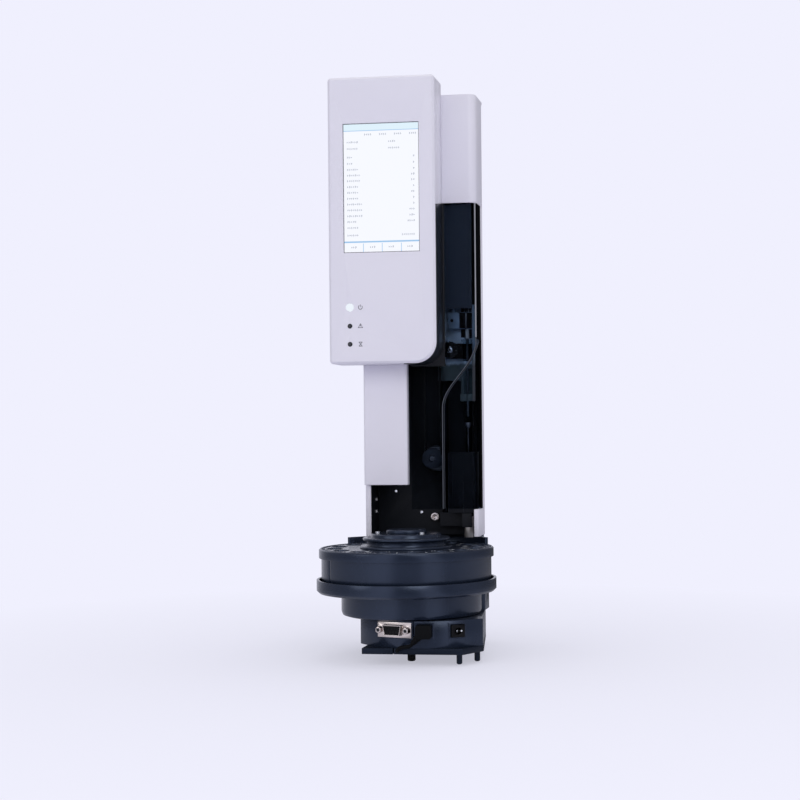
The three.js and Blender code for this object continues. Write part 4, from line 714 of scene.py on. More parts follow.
def belt_tree():
    """A toothed belt: a strap swept round a closed line, and teeth at even steps inside it."""
    group, given, leave = geometry_tree("Toothed belt", {
        "Width": 0.006, "Thickness": 0.0009, "Tooth pitch": 0.002, "Tooth height": 0.0006,
    })
    width, thick = given["Width"], given["Thickness"]
    pitch, tall = given["Tooth pitch"], given["Tooth height"]
    line = step(group, "GeometryNodeMeshToCurve", Mesh=given["Geometry"])
    strap = step(group, "GeometryNodeCurvePrimitiveQuadrilateral", Width=width, Height=thick)
    swept = step(group, "GeometryNodeCurveToMesh", Curve=line, Profile_Curve=strap)
    beads = step(group, "GeometryNodeResampleCurve", Curve=line)
    for socket in beads.inputs:
        if socket.name == "Mode":
            socket.default_value = "Length"
    if hasattr(beads, "mode"):
        beads.mode = "LENGTH"
    fill(group, beads, Length=pitch)
    size = vector_of(group, X=product(group, pitch, 0.5), Y=width, Z=tall)
    tooth = step(group, "GeometryNodeMeshCube", Size=size)
    inward = maths(group, "ADD", product(group, thick, 0.5), product(group, tall, 0.4))
    sunk = moved(group, tooth, Z=inward)
    aim = aimed(group, "Y", group.nodes.new("GeometryNodeInputTangent"))
    teeth = on_points(group, beads, sunk, aim)
    both = group.nodes.new("GeometryNodeJoinGeometry")
    for part in (teeth, swept):
        group.links.new(part.outputs[0], both.inputs[0])
    close_tree(group, given, leave, both)


def bar_tree():
    """The same small bar on every point, turned to face away from a centre."""
    group, given, leave = geometry_tree("Bars", {
        "Size": (0.001, 0.001, 0.001), "Centre": (0.0, 0.0, 0.0), "Turned": True,
    })
    bar = step(group, "GeometryNodeMeshCube", Size=given["Size"])
    where = group.nodes.new("GeometryNodeInputPosition")
    away = vector_maths(group, "SUBTRACT", where, given["Centre"])
    facing = choice(group, "VECTOR", given["Turned"], (1.0, 0.0, 0.0), away)
    close_tree(group, given, leave, on_points(group, given["Geometry"], bar, aimed(group, "Z", facing)))


def ring_tree():
    """The same small ring on every point, such as contacts and rims."""
    group, given, leave = geometry_tree("Rings", {"Radius": 0.001, "Wire": 0.0002, "Facing": "Rotation"})
    loop = step(group, "GeometryNodeCurvePrimitiveCircle", Resolution=24, Radius=given["Radius"])
    ring = wire_along(group, loop, given["Wire"], 8)
    close_tree(group, given, leave, on_points(group, given["Geometry"], ring, given["Facing"]))


def bead_tree():
    """A round bead laid along a line."""
    group, given, leave = geometry_tree("Beads", {"Radius": 0.0003})
    line = step(group, "GeometryNodeMeshToCurve", Mesh=given["Geometry"])
    close_tree(group, given, leave, wire_along(group, line, given["Radius"], 10, Fill_Caps=True))


def grown(name, tree, points, body, material, slot, joined="dots", **values):
    """A plain piece from a tree: its inputs are set, the result is made a mesh, and the modifier goes."""
    count = len(points)
    ends = {"loop": count, "line": count - 1, "dots": 0}[joined]
    seeds = bpy.data.meshes.new(name)
    seeds.from_pydata([tuple(p) for p in points], [(i, (i + 1) % count) for i in range(ends)], [])
    holder = into_scene(name + "_seeds", seeds)
    modifier = holder.modifiers.new("Nodes", "NODES")
    modifier.node_group = bpy.data.node_groups[tree]
    sockets = {s.name: s.identifier for s in modifier.node_group.interface.items_tree if s.in_out == "INPUT"}
    for label, value in {**values, "Material": bpy.data.materials[material]}.items():
        modifier[sockets[label.replace("_", " ")]] = value
    mesh = plain_mesh(holder, all_layers=True)
    if not len(mesh.polygons):
        raise RuntimeError(f"{name} came out empty")
    smooth(mesh)
    mesh.name = name
    return link(name, mesh, material, body, slot)


def screws(name, points, body, material, slot, sizes, facing, seed=3, slotted=False):
    """Screw heads on points. The sizes are the head's radius and height, the recess's depth and radius."""
    labels = ("Head_radius", "Head_height", "Recess_depth", "Recess_radius")
    return grown(
        name, "Screw heads", points, body, material, slot, Facing=facing, Seed=seed, Slotted=slotted,
        **dict(zip(labels, sizes)),
    )


def rings(name, points, body, material, slot, radius, wire, facing):
    """Rings on points, their radius and thickness in millimetres."""
    sizes = dict(Radius=radius * MM, Wire=wire * MM)
    return grown(name, "Rings", points, body, material, slot, Facing=facing, **sizes)


def beads(name, route, body, material, slot, radius):
    """A bead along a route, in millimetres."""
    points = [Vector(spot) * MM for spot in route]
    return grown(name, "Beads", points, body, material, slot, joined="line", Radius=radius * MM)


FACE_UP = (0.0, 0.0, 0.0)
FACE_DOWN = (math.pi, 0.0, 0.0)
FACE_FRONT = (math.pi / 2, 0.0, 0.0)
FACE_BACK = (-math.pi / 2, 0.0, 0.0)
FACE_RIGHT = (0.0, math.pi / 2, 0.0)


# Operators, one for each piece or group of like pieces


class AUTOSAMPLER_OT_finishes(Operator):
    """Builds every finish and gives the carried-over nodes theirs"""

    bl_idname = "autosampler.finishes"
    bl_label = "Finishes"

    def execute(self, context):
        build_finishes()
        for node, slot in node_slots().items():
            mesh = frame["nodes"][node].data
            mesh.materials.clear()
            mesh.materials.append(bpy.data.materials[finish_of(slot)])
        return {"FINISHED"}


# The photo's camera, fitted to points of the photo
PHOTO_PIXELS, FOCAL_PIXELS, SENSOR = 800.0, 1569.2, 36.0
CAMERA_SHIFT = (-0.1479, 0.0371)
CAMERA_PLACE = (0.27728, -1.30646, 0.18821)
CAMERA_TURNS = [(math.radians(8.0), "Z"), (math.radians(90.0) + 0.0006, "X"), (-0.0093, "Z")]

# The studio's lamps: name, size and place in metres. All look at the middle of the object
LAMPS = [
    ("key", 1.3, (0.85, -1.9, 1.0)), ("fill", 1.0, (-1.5, -1.3, 0.7)), ("top", 1.4, (0.1, 0.2, 1.9)),
]
LAMP_TARGET = (0.0, 0.0, 0.24)
BOXES_AHEAD = math.radians(12.0)
FLOOR_RADIUS, FLOOR_LEVEL, FLOOR_SHADE = 12.0, -0.0004, 0.92
SHADOW_NEAR, SHADOW_FAR = 0.14, 0.6


class AUTOSAMPLER_OT_stage(Operator):
    """Sets up the floor, the pale surroundings, the lamps and the camera"""

    bl_idname = "autosampler.stage"
    bl_label = "Stage"

    def execute(self, context):
        studio = settings("studio")
        context.scene.view_settings.view_transform = "Standard"
        self.camera(context)
        self.world(context, studio)
        self.floor(studio)
        for name, size, place in LAMPS:
            self.lamp(name + "_lamp", getattr(studio, name), size, place)
        return {"FINISHED"}

    def camera(self, context):
        data = bpy.data.cameras.new("camera")
        data.sensor_width = SENSOR
        data.lens = FOCAL_PIXELS * SENSOR / PHOTO_PIXELS
        data.shift_x, data.shift_y = CAMERA_SHIFT
        data.clip_end = 50.0
        camera = into_scene("camera", data)
        turn, tilt, roll = (Matrix.Rotation(angle, 4, axis) for angle, axis in CAMERA_TURNS)
        camera.matrix_world = Matrix.Translation(CAMERA_PLACE) @ turn @ tilt @ roll
        context.scene.camera = camera

    def world(self, context, studio):
        world = bpy.data.worlds.new("surroundings")
        world.use_nodes = True
        tree = world.node_tree
        tree.nodes.clear()
        path = tree.nodes.new("ShaderNodeLightPath").outputs
        share = maths(tree, "MAXIMUM", path["Is Camera Ray"], path["Is Transmission Ray"])
        level = self.softboxes(tree, tree.nodes.new("ShaderNodeTexCoord").outputs["Generated"], studio)
        backdrop = (*studio.backdrop, 1.0)
        even, seen, boxes = (
            step(tree, "ShaderNodeBackground", Color=colour, Strength=strength)
            for colour, strength in (((1.0, 1.0, 1.0, 1.0), studio.sky), (backdrop, 1.0), (backdrop, level))
        )
        both = step(tree, "ShaderNodeMixShader", i0=share, i1=even, i2=seen)
        lit = step(tree, "ShaderNodeMixShader", i0=path["Is Glossy Ray"], i1=both, i2=boxes)
        step(tree, "ShaderNodeOutputWorld", Surface=lit)
        context.scene.world = world

    def softboxes(self, tree, way, studio):
        """The studio as gloss sees it: two front boxes with a gap between, dim sides and a bright back."""
        front = (math.sin(BOXES_AHEAD), -math.cos(BOXES_AHEAD), 0.0)
        right = (-front[1], front[0], 0.0)
        turn = maths(tree, "ARCTAN2", dot(tree, way, right), dot(tree, way, front))
        share = maths(tree, "ADD", maths(tree, "MULTIPLY", turn, 0.5 / math.pi), 0.5)
        ramp = step(tree, "ShaderNodeValToRGB", Fac=share)
        gap, side = studio.gap, studio.side
        levels = [
            (-160, 0.95), (-124, side), (-80, side), (-56, 0.55), (-34, 1.0), (-20, 1.0), (-13, gap),
            (13, gap), (19, 0.9), (34, 0.9), (46, side * 0.7), (78, side * 1.2), (120, side * 0.5),
            (160, side * 0.4), (174, 0.95),
        ]
        stops = ramp.color_ramp.elements
        for index, (degrees, level) in enumerate(levels):
            spot = 0.5 + degrees / 360
            stop = stops[index] if index < 2 else stops.new(spot)
            stop.position = spot
            stop.color = (level, level, level, 1.0)
        return ramp.outputs[0]

    def floor(self, studio):
        """A wide disc that catches a soft shadow near the object, and is as pale as the backdrop far out."""
        tree, shader = new_material("floor")
        fill(tree, shader, Base_Color=(*scaled(studio.backdrop, FLOOR_SHADE), 1), Roughness=0.9, IOR=1.1)
        path = tree.nodes.new("ShaderNodeLightPath").outputs
        place = object_place(tree)
        boxes = self.softboxes(tree, place, studio)
        level = step(tree, "ShaderNodeMix", i0=path["Is Glossy Ray"], i2=1.0, i3=boxes)
        bright = step(tree, "ShaderNodeEmission", Color=(*studio.backdrop, 1.0), Strength=level)
        reach = vector_maths(tree, "LENGTH", place).outputs["Value"]
        near = step(tree, "ShaderNodeMapRange", Value=reach, From_Min=SHADOW_NEAR, From_Max=SHADOW_FAR)
        direct = maths(tree, "MAXIMUM", path["Is Camera Ray"], path["Is Glossy Ray"])
        pale = maths(tree, "ADD", maths(tree, "MULTIPLY", near, 1 - studio.pale), studio.pale)
        share = maths(tree, "MULTIPLY", pale, direct)
        both = step(tree, "ShaderNodeMixShader", i0=share, i1=shader, i2=bright)
        fill(tree, tree.nodes["Material Output"], Surface=both)
        builder = bmesh.new()
        bmesh.ops.create_circle(builder, cap_ends=True, segments=64, radius=FLOOR_RADIUS)
        mesh = mesh_of(builder, "floor")
        mesh.materials.append(bpy.data.materials["floor"])
        floor = into_scene("floor", mesh)
        floor.location.z = FLOOR_LEVEL

    def lamp(self, name, power, size, place):
        data = bpy.data.lights.new(name, "AREA")
        data.energy = power
        data.shape = "DISK"
        data.size = size
        lamp = into_scene(name, data)
        lamp.location = place
        lamp.rotation_euler = (Vector(LAMP_TARGET) - Vector(place)).to_track_quat("-Z", "Y").to_euler()


def rounded_line(points, count):
    """Points at even steps along a smooth line through the given ones."""
    ends = [points[0] * 2 - points[1], *points, points[-1] * 2 - points[-2]]
    fine = 24

    def between(first, second, start, end, t):
        return first * ((end - t) / (end - start)) + second * ((t - start) / (end - start))

    dense = []
    for p0, p1, p2, p3 in zip(ends, ends[1:], ends[2:], ends[3:]):
        t1 = (p1 - p0).length ** 0.5
        t2 = t1 + (p2 - p1).length ** 0.5
        t3 = t2 + (p3 - p2).length ** 0.5
        for k in range(fine):
            t = t1 + (t2 - t1) * k / fine
            a1, a2, a3 = between(p0, p1, 0, t1, t), between(p1, p2, t1, t2, t), between(p2, p3, t2, t3, t)
            dense.append(between(between(a1, a2, 0, t2, t), between(a2, a3, t1, t3, t), t1, t2, t))
    dense.append(points[-1])
    lengths = [0.0]
    for first, second in zip(dense, dense[1:]):
        lengths.append(lengths[-1] + (second - first).length)
    even = []
    for k in range(count):
        target = lengths[-1] * k / (count - 1)
        i = max(1, next((j for j, l in enumerate(lengths) if l >= target - 1e-12), len(lengths) - 1))
        share = (target - lengths[i - 1]) / max(1e-12, lengths[i] - lengths[i - 1])
        even.append(dense[i - 1].lerp(dense[i], share))
    return even, lengths[-1]


LEAD_ROUTE = [
    (16.97, -75.38, 18.34), (15.5, -75.51, 16.7), (7.02, -74.35, 15.0), (3.82, -71.95, 12.4),
    (3.22, -66.35, 11.4), (3.42, -60.35, 12.6), (4.02, -55.35, 16.6), (5.02, -49.35, 20.5),
]


class AUTOSAMPLER_OT_lead(Operator):
    """Lays the short jumper lead from its plug into the base"""

    bl_idname = "autosampler.lead"
    bl_label = "Jumper lead"

    def execute(self, context):
        lead = settings("lead")
        route, length = rounded_line([Vector(p) * MM for p in LEAD_ROUTE], lead.points)
        data = bpy.data.curves.new("jumper_cable", "CURVE")
        data.dimensions = "3D"
        data.bevel_depth = lead.diameter / 2
        data.bevel_resolution = 5
        data.use_fill_caps = True
        spline = data.splines.new("POLY")
        spline.points.add(len(route) - 1)
        for point, place in zip(spline.points, route):
            point.co = (*place, 1.0)
        spline.use_smooth = True
        data.materials.append(bpy.data.materials["cable rubber"])
        cable = into_scene("jumper_cable", data)
        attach(cable, "frame")
        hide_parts("jumper_lead")
        plug = refine("lead_plug", "lead_plug_body", "cable rubber", width=0.5, segments=3, degrees=40)
        tuple(route[0])
        return {"FINISHED"}


# CAD node, piece, finish, width of the rounding in millimetres and its segments
REFINED = [
    ("head_front_bezel", "head_bezel", "white shell", 0.5, 3),
    ("head_back_shell", "head_shell", "white shell", 0.4, 2),
    ("upper_front_cover", "upper_cover", "white shell", 0.5, 2),
    ("left_front_cover", "left_cover", "white shell", 0.5, 3),
    ("left_side_cover", "side_cover", "white shell", 0.4, 2),
    ("right_lower_cover", "right_foot_cover", "white shell", 0.4, 2),
    ("rear_cover", "back_cover", "white shell", 0.4, 2),
    ("base_housing", "base_block", "dark moulding", 0.5, 2),
    ("tray_housing", "tray", "dark moulding", 0.5, 2),
    ("turret_carousel", "carousel", "dark moulding", 0.35, 2),
    ("turret_hub", "hub", "dark moulding", 0.4, 2),
    ("turret_cap", "hub_cap", "dark moulding", 0.4, 2),
    ("base_plate", "bottom_plate", "plate moulding", 0.3, 2),
    ("smoked_door", "door_cover", "smoked door", 0.6, 3),
    ("inner_mask_panel", "mask", "slate sheet", 0.3, 2),
    ("drive_pulley", "lower_pulley", "dark alloy", 0.2, 2),
    ("idler_pulley", "upper_pulley", "dark alloy", 0.2, 2),
    ("needle_guide", "guide_bush", "bush steel", 0.3, 2),
    ("plunger_driver", "driver", "blue alloy", 0.3, 2),
    ("lower_rod_block", "rod_foot", "black sheet", 1.6, 4),
    ("syringe_carriage", "carriage_plate", "carriage alloy", 0.3, 2),
    ("clamp_knob", "knob", "polished black", 0.35, 2),
    ("data_socket_shell", "data_socket_case", "nickel plate", 0.15, 2),
    ("power_socket_body", "power_socket_case", "black plastic", 0.25, 2),
    ("needle_shroud", "shroud", "black sheet", 0.25, 2),
    ("lock_screw", "lock_bolt", "nickel plate", 0.25, 2),
]
MADE_ELSEWHERE = {"jumper_lead", "lead_plug", "timing_belt"}
WIDEST_ROUNDING, ROUNDING_SHARE = 0.3, 0.05


class AUTOSAMPLER_OT_cases(Operator):
    """Puts rounded edges and smooth curves on the covers, mouldings and plates"""

    bl_idname = "autosampler.cases"
    bl_label = "Cases and mouldings"

    def execute(self, context):
        for row in REFINED:
            refine(*row)
        done = {row[0] for row in REFINED} | MADE_ELSEWHERE
        for node, slot in node_slots().items():
            if node not in done:
                low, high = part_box(node)
                width = min(WIDEST_ROUNDING, min(high - low) / MM * ROUNDING_SHARE)
                refine(node, node + "_finished", finish_of(slot), width)
        return {"FINISHED"}


# Lines of the head and the door in millimetres. The door steps back below its bend
HEAD_RIGHT, HEAD_LOW, HEAD_CORNER = 29.0, 245.3, 18.0
DOOR_TOP, DOOR_BEND, DOOR_LOW = 381.8, 266.0, 122.0
DOOR_SIDE, DOOR_FRONT, DOOR_STEP, DOOR_CORNER = 58.0, 5.65, 13.65, (57.12, 6.53)
LINER_FRONT, LINER_BACK = -23.5, 5.3
# The liner's top corners in front lie lower than those behind
LINER_TOP, LINER_DROP = 380, 4.3


class AUTOSAMPLER_OT_head_liner(Operator):
    """Lines the head's side and underside in black where they face the door"""

    bl_idname = "autosampler.head_liner"
    bl_label = "Head liner"

    def execute(self, context):
        builder = bmesh.new()
        prism_into(builder, self.edge(0.04) + list(reversed(self.edge(0.6))), LINER_FRONT, LINER_BACK)
        for corner in builder.verts:
            if corner.co.z > LINER_TOP * MM and corner.co.y < 0:
                corner.co.z -= LINER_DROP * MM
        fitted("head_liner", builder, "ridge trim", "frame", "black_sheet")
        return {"FINISHED"}

    def edge(self, away):
        """The head's outline beside the door, moved outwards."""
        corner = arc_points(HEAD_RIGHT - HEAD_CORNER, HEAD_LOW + HEAD_CORNER, HEAD_CORNER + away, 0, -90)
        return [(HEAD_RIGHT + away, DOOR_TOP), *corner, (1.0, HEAD_LOW - away)]


RIDGE_START, RIDGE_BENDS, RIDGE_END = (58.0, 264.0), ((52.0, 238.0), (27.8, 228.0)), (27.8, 207.0)


def ridge_line(count=26):
    """The door's S-shaped ridge as X and Z in millimetres, from the right edge to its straight foot."""
    (ax, az), ((bx, bz), (cx, cz)), (dx, dz) = RIDGE_START, RIDGE_BENDS, RIDGE_END
    spots = []
    for i in range(count + 1):
        t = i / count
        a, b, c, d = (1 - t) ** 3, 3 * t * (1 - t) ** 2, 3 * t * t * (1 - t), t ** 3
        spots.append((a * ax + b * bx + c * cx + d * dx, a * az + b * bz + c * cz + d * dz))
    return spots


class AUTOSAMPLER_OT_door_trim(Operator):
    """Fits the door's side trim, a dark facing of painted shade on its S-shaped ridge, and beads of painted
    highlight along the ridge and the door's corner
    """

    bl_idname = "autosampler.door_trim"
    bl_label = "Door trim"

    def execute(self, context):
        outer, back = DOOR_SIDE + 0.35, 27.65
        builder = bmesh.new()
        for front, low, high in ((8.9, DOOR_BEND, DOOR_TOP), (17.2, DOOR_LOW, DOOR_BEND)):
            outline = [(DOOR_SIDE, front), (outer, front + 0.3), (outer, back), (DOOR_SIDE, back)]
            prism_into(builder, outline, low, high, "Z")
        fitted("door_side_trim", builder, "matt black", "door", "smoked_acrylic")
        hinge_side = [(DOOR_SIDE, 27.75), (DOOR_SIDE + 0.4, 28.0), (DOOR_SIDE + 0.4, 37.2), (DOOR_SIDE, 37.5)]
        on_door = ("door", "smoked_acrylic")
        fitted_prism("door_hinge_strip", hinge_side, DOOR_LOW, DOOR_TOP, "white shell", *on_door, "Z")
        line = [*ridge_line(), (RIDGE_END[0], DOOR_LOW + 0.3)]
        # A facing in dark trim colour on the ridge's step: painted shade of the step wall, which faces away
        # from the light
        facing = line[1:] + list(reversed(self.beside(line, 0.14)[1:]))
        front, back = DOOR_FRONT + 0.2, DOOR_STEP - 0.1
        fitted_prism("ridge_facing", facing, front, back, "ridge trim", *on_door, width=0.04)
        # The corner bead is a painted highlight along the door's rounded front corner
        corner = [(*DOOR_CORNER, z) for z in (DOOR_TOP - 0.4, 300.0, DOOR_BEND + 2)]
        crest = corner + [(x, DOOR_FRONT, z) for x, z in line[1:]]
        foot = [(x, DOOR_STEP, z) for x, z in line]
        # Beads in light colours: painted highlights along the door's corner and along the crest and foot of
        # its ridge
        for name, route, radius, material in (
            ("door_corner_line", corner, 0.6, "corner line"), ("ridge_crest", crest, 0.28, "ridge line"),
            ("ridge_foot", foot, 0.26, "ridge line"),
        ):
            beads(name, route, "door", material, "smoked_acrylic", radius)
        return {"FINISHED"}

    def beside(self, line, away):
        """The same line moved sideways, towards the side that steps back."""
        spots = []
        for i, (x, z) in enumerate(line):
            before, after = line[max(0, i - 1)], line[min(len(line) - 1, i + 1)]
            along = Vector((after[0] - before[0], after[1] - before[1])).normalized()
            spots.append((x - along.y * away, z + along.x * away))
        return spots


# Sections and routes of the chassis trim, in millimetres
FLANGE = [(49.9, 42.4), (49.9, 41.6), (54.4, 41.6), (54.4, 43.3), (53.6, 43.3), (53.6, 42.4)]
COLLAR = [(3.9, 109.0), (4.55, 109.0), (4.55, 114.8), (4.4, 115.2), (4.2, 115.2), (4.2, 111.6), (3.9, 111.6)]
GUIDE_AXIS = (47.0, 22.95)
GROMMET = rectangle(0.55, -69.3, 8.45, -53.4)
# Beads in a trim colour lighter than the shroud: painted highlight lines along its edges
SHROUD_HIGHLIGHTS = {
    "shroud_outline": [(30.4, 119.0), (30.4, 168.0), (32.6, 170.2), (53.9, 170.2)],
    "shroud_rib_left": [(34.2, 132.0), (34.2, 166.0)],
    "shroud_rib_right": [(43.4, 119.0), (43.4, 154.0)],
}
BEAD_RADIUS = 0.22


class AUTOSAMPLER_OT_chassis_trim(Operator):
    """Fits the chassis's side flange, the lead's grommet, the needle's sleeve, and beads that paint highlight
    lines on the shroud's edges
    """

    bl_idname = "autosampler.chassis_trim"
    bl_label = "Chassis trim"

    def execute(self, context):
        low = DOOR_LOW + 0.2
        fitted_prism("chassis_side_flange", FLANGE, low, DOOR_TOP, "black sheet", "frame", "black_sheet", "Z")
        builder = bmesh.new()
        lathe_into(builder, COLLAR, GUIDE_AXIS)
        fitted("guide_sleeve", builder, "bush steel", "frame", "steel", width=0.1)
        foot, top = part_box("rubber_foot_front")[1].z / MM + 0.1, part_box("base_plate")[1].z / MM - 0.05
        fitted_prism("lead_grommet", GROMMET, foot, top, "plate moulding", "frame", "black_rubber", "Z")
        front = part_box("needle_shroud")[0].y / MM
        bead_tree()
        for name, route in SHROUD_HIGHLIGHTS.items():
            spots = [(x, front, z) for x, z in route]
            beads(name, spots, "frame", "ridge trim", "black_sheet", BEAD_RADIUS)
        return {"FINISHED"}


# Name, outline in X and Z, front and back, finish, body, slot and rounding. Lengths are in millimetres
SMALL_PLATES = [
    ("driver_facing", rectangle(41.0, 276.3, 52.0, 289.7), 18.75, 19.14,
     "black plastic", "plunger_slide", "black_plastic", 0.12),
    ("driver_rib", rectangle(46.0, 276.6, 47.3, 289.4), 18.15, 18.78,
     "plain steel", "plunger_slide", "steel", 0.2),
    ("mask_side_strip", rectangle(52.8, 214.0, 55.2, 296.0), 12.25, 13.05,
     "strip alloy", "frame", "black_sheet", 0.15),
    ("mast_facing", rectangle(40.6, 269.0, 43.9, 351.0), 28.98, 29.24,
     "black plastic", "carriage", "black_plastic", 0.1),
]
# A white collar on the plunger that paints the glint of its rod
PLUNGER_GLINT_COLLAR = [(0.9, 267.9), (1.5, 267.9), (1.5, 275.4), (1.2, 275.9), (0.9, 275.9)]
KNOB_DOME = [(0.8, -0.3), (3.0, -0.3), (3.0, 0.3), (2.7, 0.75), (2.1, 1.1), (1.4, 1.3), (0.8, 1.35)]


class AUTOSAMPLER_OT_mechanism_trim(Operator):
    """Fits the small plates, caps and collars on the moving plates behind the door; the white collar on the
    plunger is a painted glint
    """

    bl_idname = "autosampler.mechanism_trim"
    bl_label = "Mechanism trim"

    def execute(self, context):
        screw_tree()
        for name, outline, front, back, material, body, slot, width in SMALL_PLATES:
            fitted_prism(name, outline, front, back, material, body, slot, width=width)
        plunger = middle_of("plunger") / MM
        builder = bmesh.new()
        lathe_into(builder, PLUNGER_GLINT_COLLAR, (plunger.x, plunger.y))
        fitted("plunger_collar", builder, "white plastic", "plunger_slide", "white_shell", width=0.1)
        knob, face, body = middle_of("clamp_knob"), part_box("clamp_knob")[0].y, body_named("clamp_knob")
        builder = bmesh.new()
        lathe_into(builder, KNOB_DOME, (0.0, 0.0))
        forward = Matrix.Translation((knob.x, face, knob.z)) @ Matrix.Rotation(math.pi / 2, 4, "X")
        bmesh.ops.transform(builder, matrix=forward, verts=builder.verts)
        fitted("knob_cap", builder, "bright chrome", body, "steel", width=0.08)
        ring = [Vector((x, face + 5 * MM, z)) for x, z in arc_points(knob.x, knob.z, 6.85 * MM, 0, 342, 19)]
        mast = [Vector((34.5 * MM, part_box("plunger_driver")[0].y, 283.0 * MM))]
        for name, spots, place, material, slot, sizes, seed in (
            ("knob_ribs", ring, body, "polished black", "black_plastic", (0.55, 4.6, 0.1, 0.1), 13),
            ("mast_screw", mast, "plunger_slide", "black plastic", "steel", (1.3, 0.5, 0.3, 0.7), 14),
        ):
            screws(name, spots, place, material, slot, millimetres(*sizes), FACE_FRONT, seed)
        return {"FINISHED"}


# Screws as X and Z on the back plate's front face, and heights of those on the left wall and the head's back
PLATE_SCREWS = [(-20.3, 136.3), (2.4, 118), (-30, 300), (-30, 440), (4, 300), (4, 452)]
WALL_X, WALL_Y, WALL_SCREWS = -36, 28.2, (129.7, 119.2, 300, 440)
HEAD_INSET, HEAD_SCREWS = 13.5, (259.7, 365, 473)
# Base screws: whether from the right and from the rear edge, and how many insets in from them
BASE_INSET, BASE_SCREWS = 9, [(0, 0, 1, 2.6), (0, 1, 1, -2.4), (1, 1, -2.4, -3.4), (1, 0, -1.6, 4.4)]


class AUTOSAMPLER_OT_screws(Operator):
    """Fits the small screws of the hub, chassis, head and base"""

    bl_idname = "autosampler.screws"
    bl_label = "Screws"

    def execute(self, context):
        f = settings("fasteners")
        hub = ring_points(f.hub_count, f.hub_circle, AXIS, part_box("turret_hub")[1].z, f.hub_start)
        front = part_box("chassis_back_plate")[0].y
        plate = [Vector((x * MM, front, z * MM)) for x, z in PLATE_SCREWS]
        wall = [Vector(millimetres(WALL_X, WALL_Y, z)) for z in WALL_SCREWS]
        head_low, head_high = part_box("head_back_shell")
        head = [Vector((head_low.x + HEAD_INSET * MM, head_high.y, z * MM)) for z in HEAD_SCREWS]
        low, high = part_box("base_plate")
        under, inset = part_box("rubber_foot_front")[1].z, BASE_INSET * MM
        base = [
            ((high if right else low).x + inset * x, (high if rear else low).y + inset * y, under)
            for right, rear, x, y in BASE_SCREWS
        ]
        hub_size = (f.hub_radius, f.hub_height, *millimetres(0.8, 1.1))
        plate_size = (f.plate_radius, f.plate_height, *millimetres(0.6, 0.9))
        wall_size = (1.3 * MM, f.plate_height, *millimetres(0.4, 0.6))
        case_size = (f.case_radius, f.case_height, *millimetres(0.7, 1.1))
        screws("hub_screws", hub, "turret", "bright chrome", "rod_chrome", hub_size, FACE_UP, slotted=True)
        screws("chassis_screws", plate, "frame", "bright chrome", "steel", plate_size, FACE_FRONT, 5)
        screws("side_screws", wall, "frame", "zinc", "steel", wall_size, FACE_RIGHT, 6)
        screws("head_screws", head, "frame", "plain steel", "steel", case_size, FACE_BACK, 7)
        screws("base_screws", base, "frame", "plain steel", "steel", case_size, FACE_DOWN, 9)
        return {"FINISHED"}


# The display's page: its pane in millimetres, its rows as shares of its height, and the strokes in each row
PANE_WIDTH, PANE_TOP, PANE_HEIGHT, PANE_MARGIN = 64.8, 446.2, 108, 0.5
PAGE_ROWS = [
    0.141, 0.192, 0.259, 0.308, 0.355, 0.4, 0.443, 0.49, 0.535, 0.581, 0.626, 0.672, 0.718, 0.763, 0.81,
    0.869,
]
ROW_MARKS = [6, 6, 3, 3, 6, 7, 7, 6, 6, 6, 8, 8, 8, 5, 6, 6]
ROW_VALUES = [4, 6, 1, 1, 1, 2, 2, 1, 2, 1, 1, 3, 3, 4, 0, 7]
STROKE_PITCH = 0.026


class AUTOSAMPLER_OT_display(Operator):
    """Draws the lit page of the touch screen with generic rows and buttons"""

    bl_idname = "autosampler.display"
    bl_label = "Display"

    def execute(self, context):
        c = settings("colours")
        middle, half = middle_of("head_front_bezel").x, (PANE_WIDTH / 2 - PANE_MARGIN) * MM
        self.left, self.right = middle - half, middle + half
        self.top = (PANE_TOP - PANE_MARGIN) * MM
        self.bottom = (PANE_TOP - PANE_HEIGHT + PANE_MARGIN) * MM
        self.builder = bmesh.new()
        self.layer = self.builder.loops.layers.float_color.new("page_colour")
        self.quad(0, 0, 1, 1, c.page, 0)
        self.quad(0, 0, 1, 0.052, c.bar, 1)
        self.quad(0, 0.05, 1, 0.055, c.line, 2)
        self.quad(0, 0.915, 1, 0.927, c.line, 2)
        for share in (0.256, 0.507, 0.764):
            self.quad(share - 0.004, 0.933, share + 0.004, 1, c.line, 2)
        for share in (0.3, 0.5, 0.7, 0.9):
            self.word(share - 0.02, 0.083, 4, c.ink)
        for row, (y, count, value) in enumerate(zip(PAGE_ROWS, ROW_MARKS, ROW_VALUES)):
            self.word(0.045, y, count, c.ink)
            start = 0.6 if row < 2 else 0.955 - value * STROKE_PITCH
            self.word(start, y, value, c.ink)
        for share in (0.13, 0.38, 0.63, 0.88):
            self.word(share - 0.035, 0.963, 3, c.ink)
        link("display_page", mesh_of(self.builder, "display_page"), "lit page", "frame", "screen_face")
        return {"FINISHED"}

    def quad(self, x0, y0, x1, y1, colour, layer):
        """A patch given as shares of the page's width and height from the top left."""
        wide, high = self.right - self.left, self.top - self.bottom
        y = PANE_Y - (0.02 + 0.015 * layer) * MM
        spots = [(x0, y1), (x1, y1), (x1, y0), (x0, y0)]
        face = self.builder.faces.new([
            self.builder.verts.new((self.left + wide * u, y, self.top - high * v)) for u, v in spots
        ])
        for loop in face.loops:
            loop[self.layer] = (*colour, 1.0)

    def word(self, x, y, count, colour):
        """A row of small strokes that stands for writing without being any."""
        for i in range(count):
            left = x + i * STROKE_PITCH
            tall = 0.0055 + 0.0015 * ((i * 7 + int(y * 1000)) % 3)
            self.quad(left, y - tall, left + 0.006, y + tall, colour, 3)
            if (i + int(y * 500)) % 3:
                self.quad(left, y - 0.001, left + 0.017, y + 0.0014, colour, 3)
            else:
                self.quad(left + 0.01, y - tall, left + 0.0155, y + tall * 0.6, colour, 3)


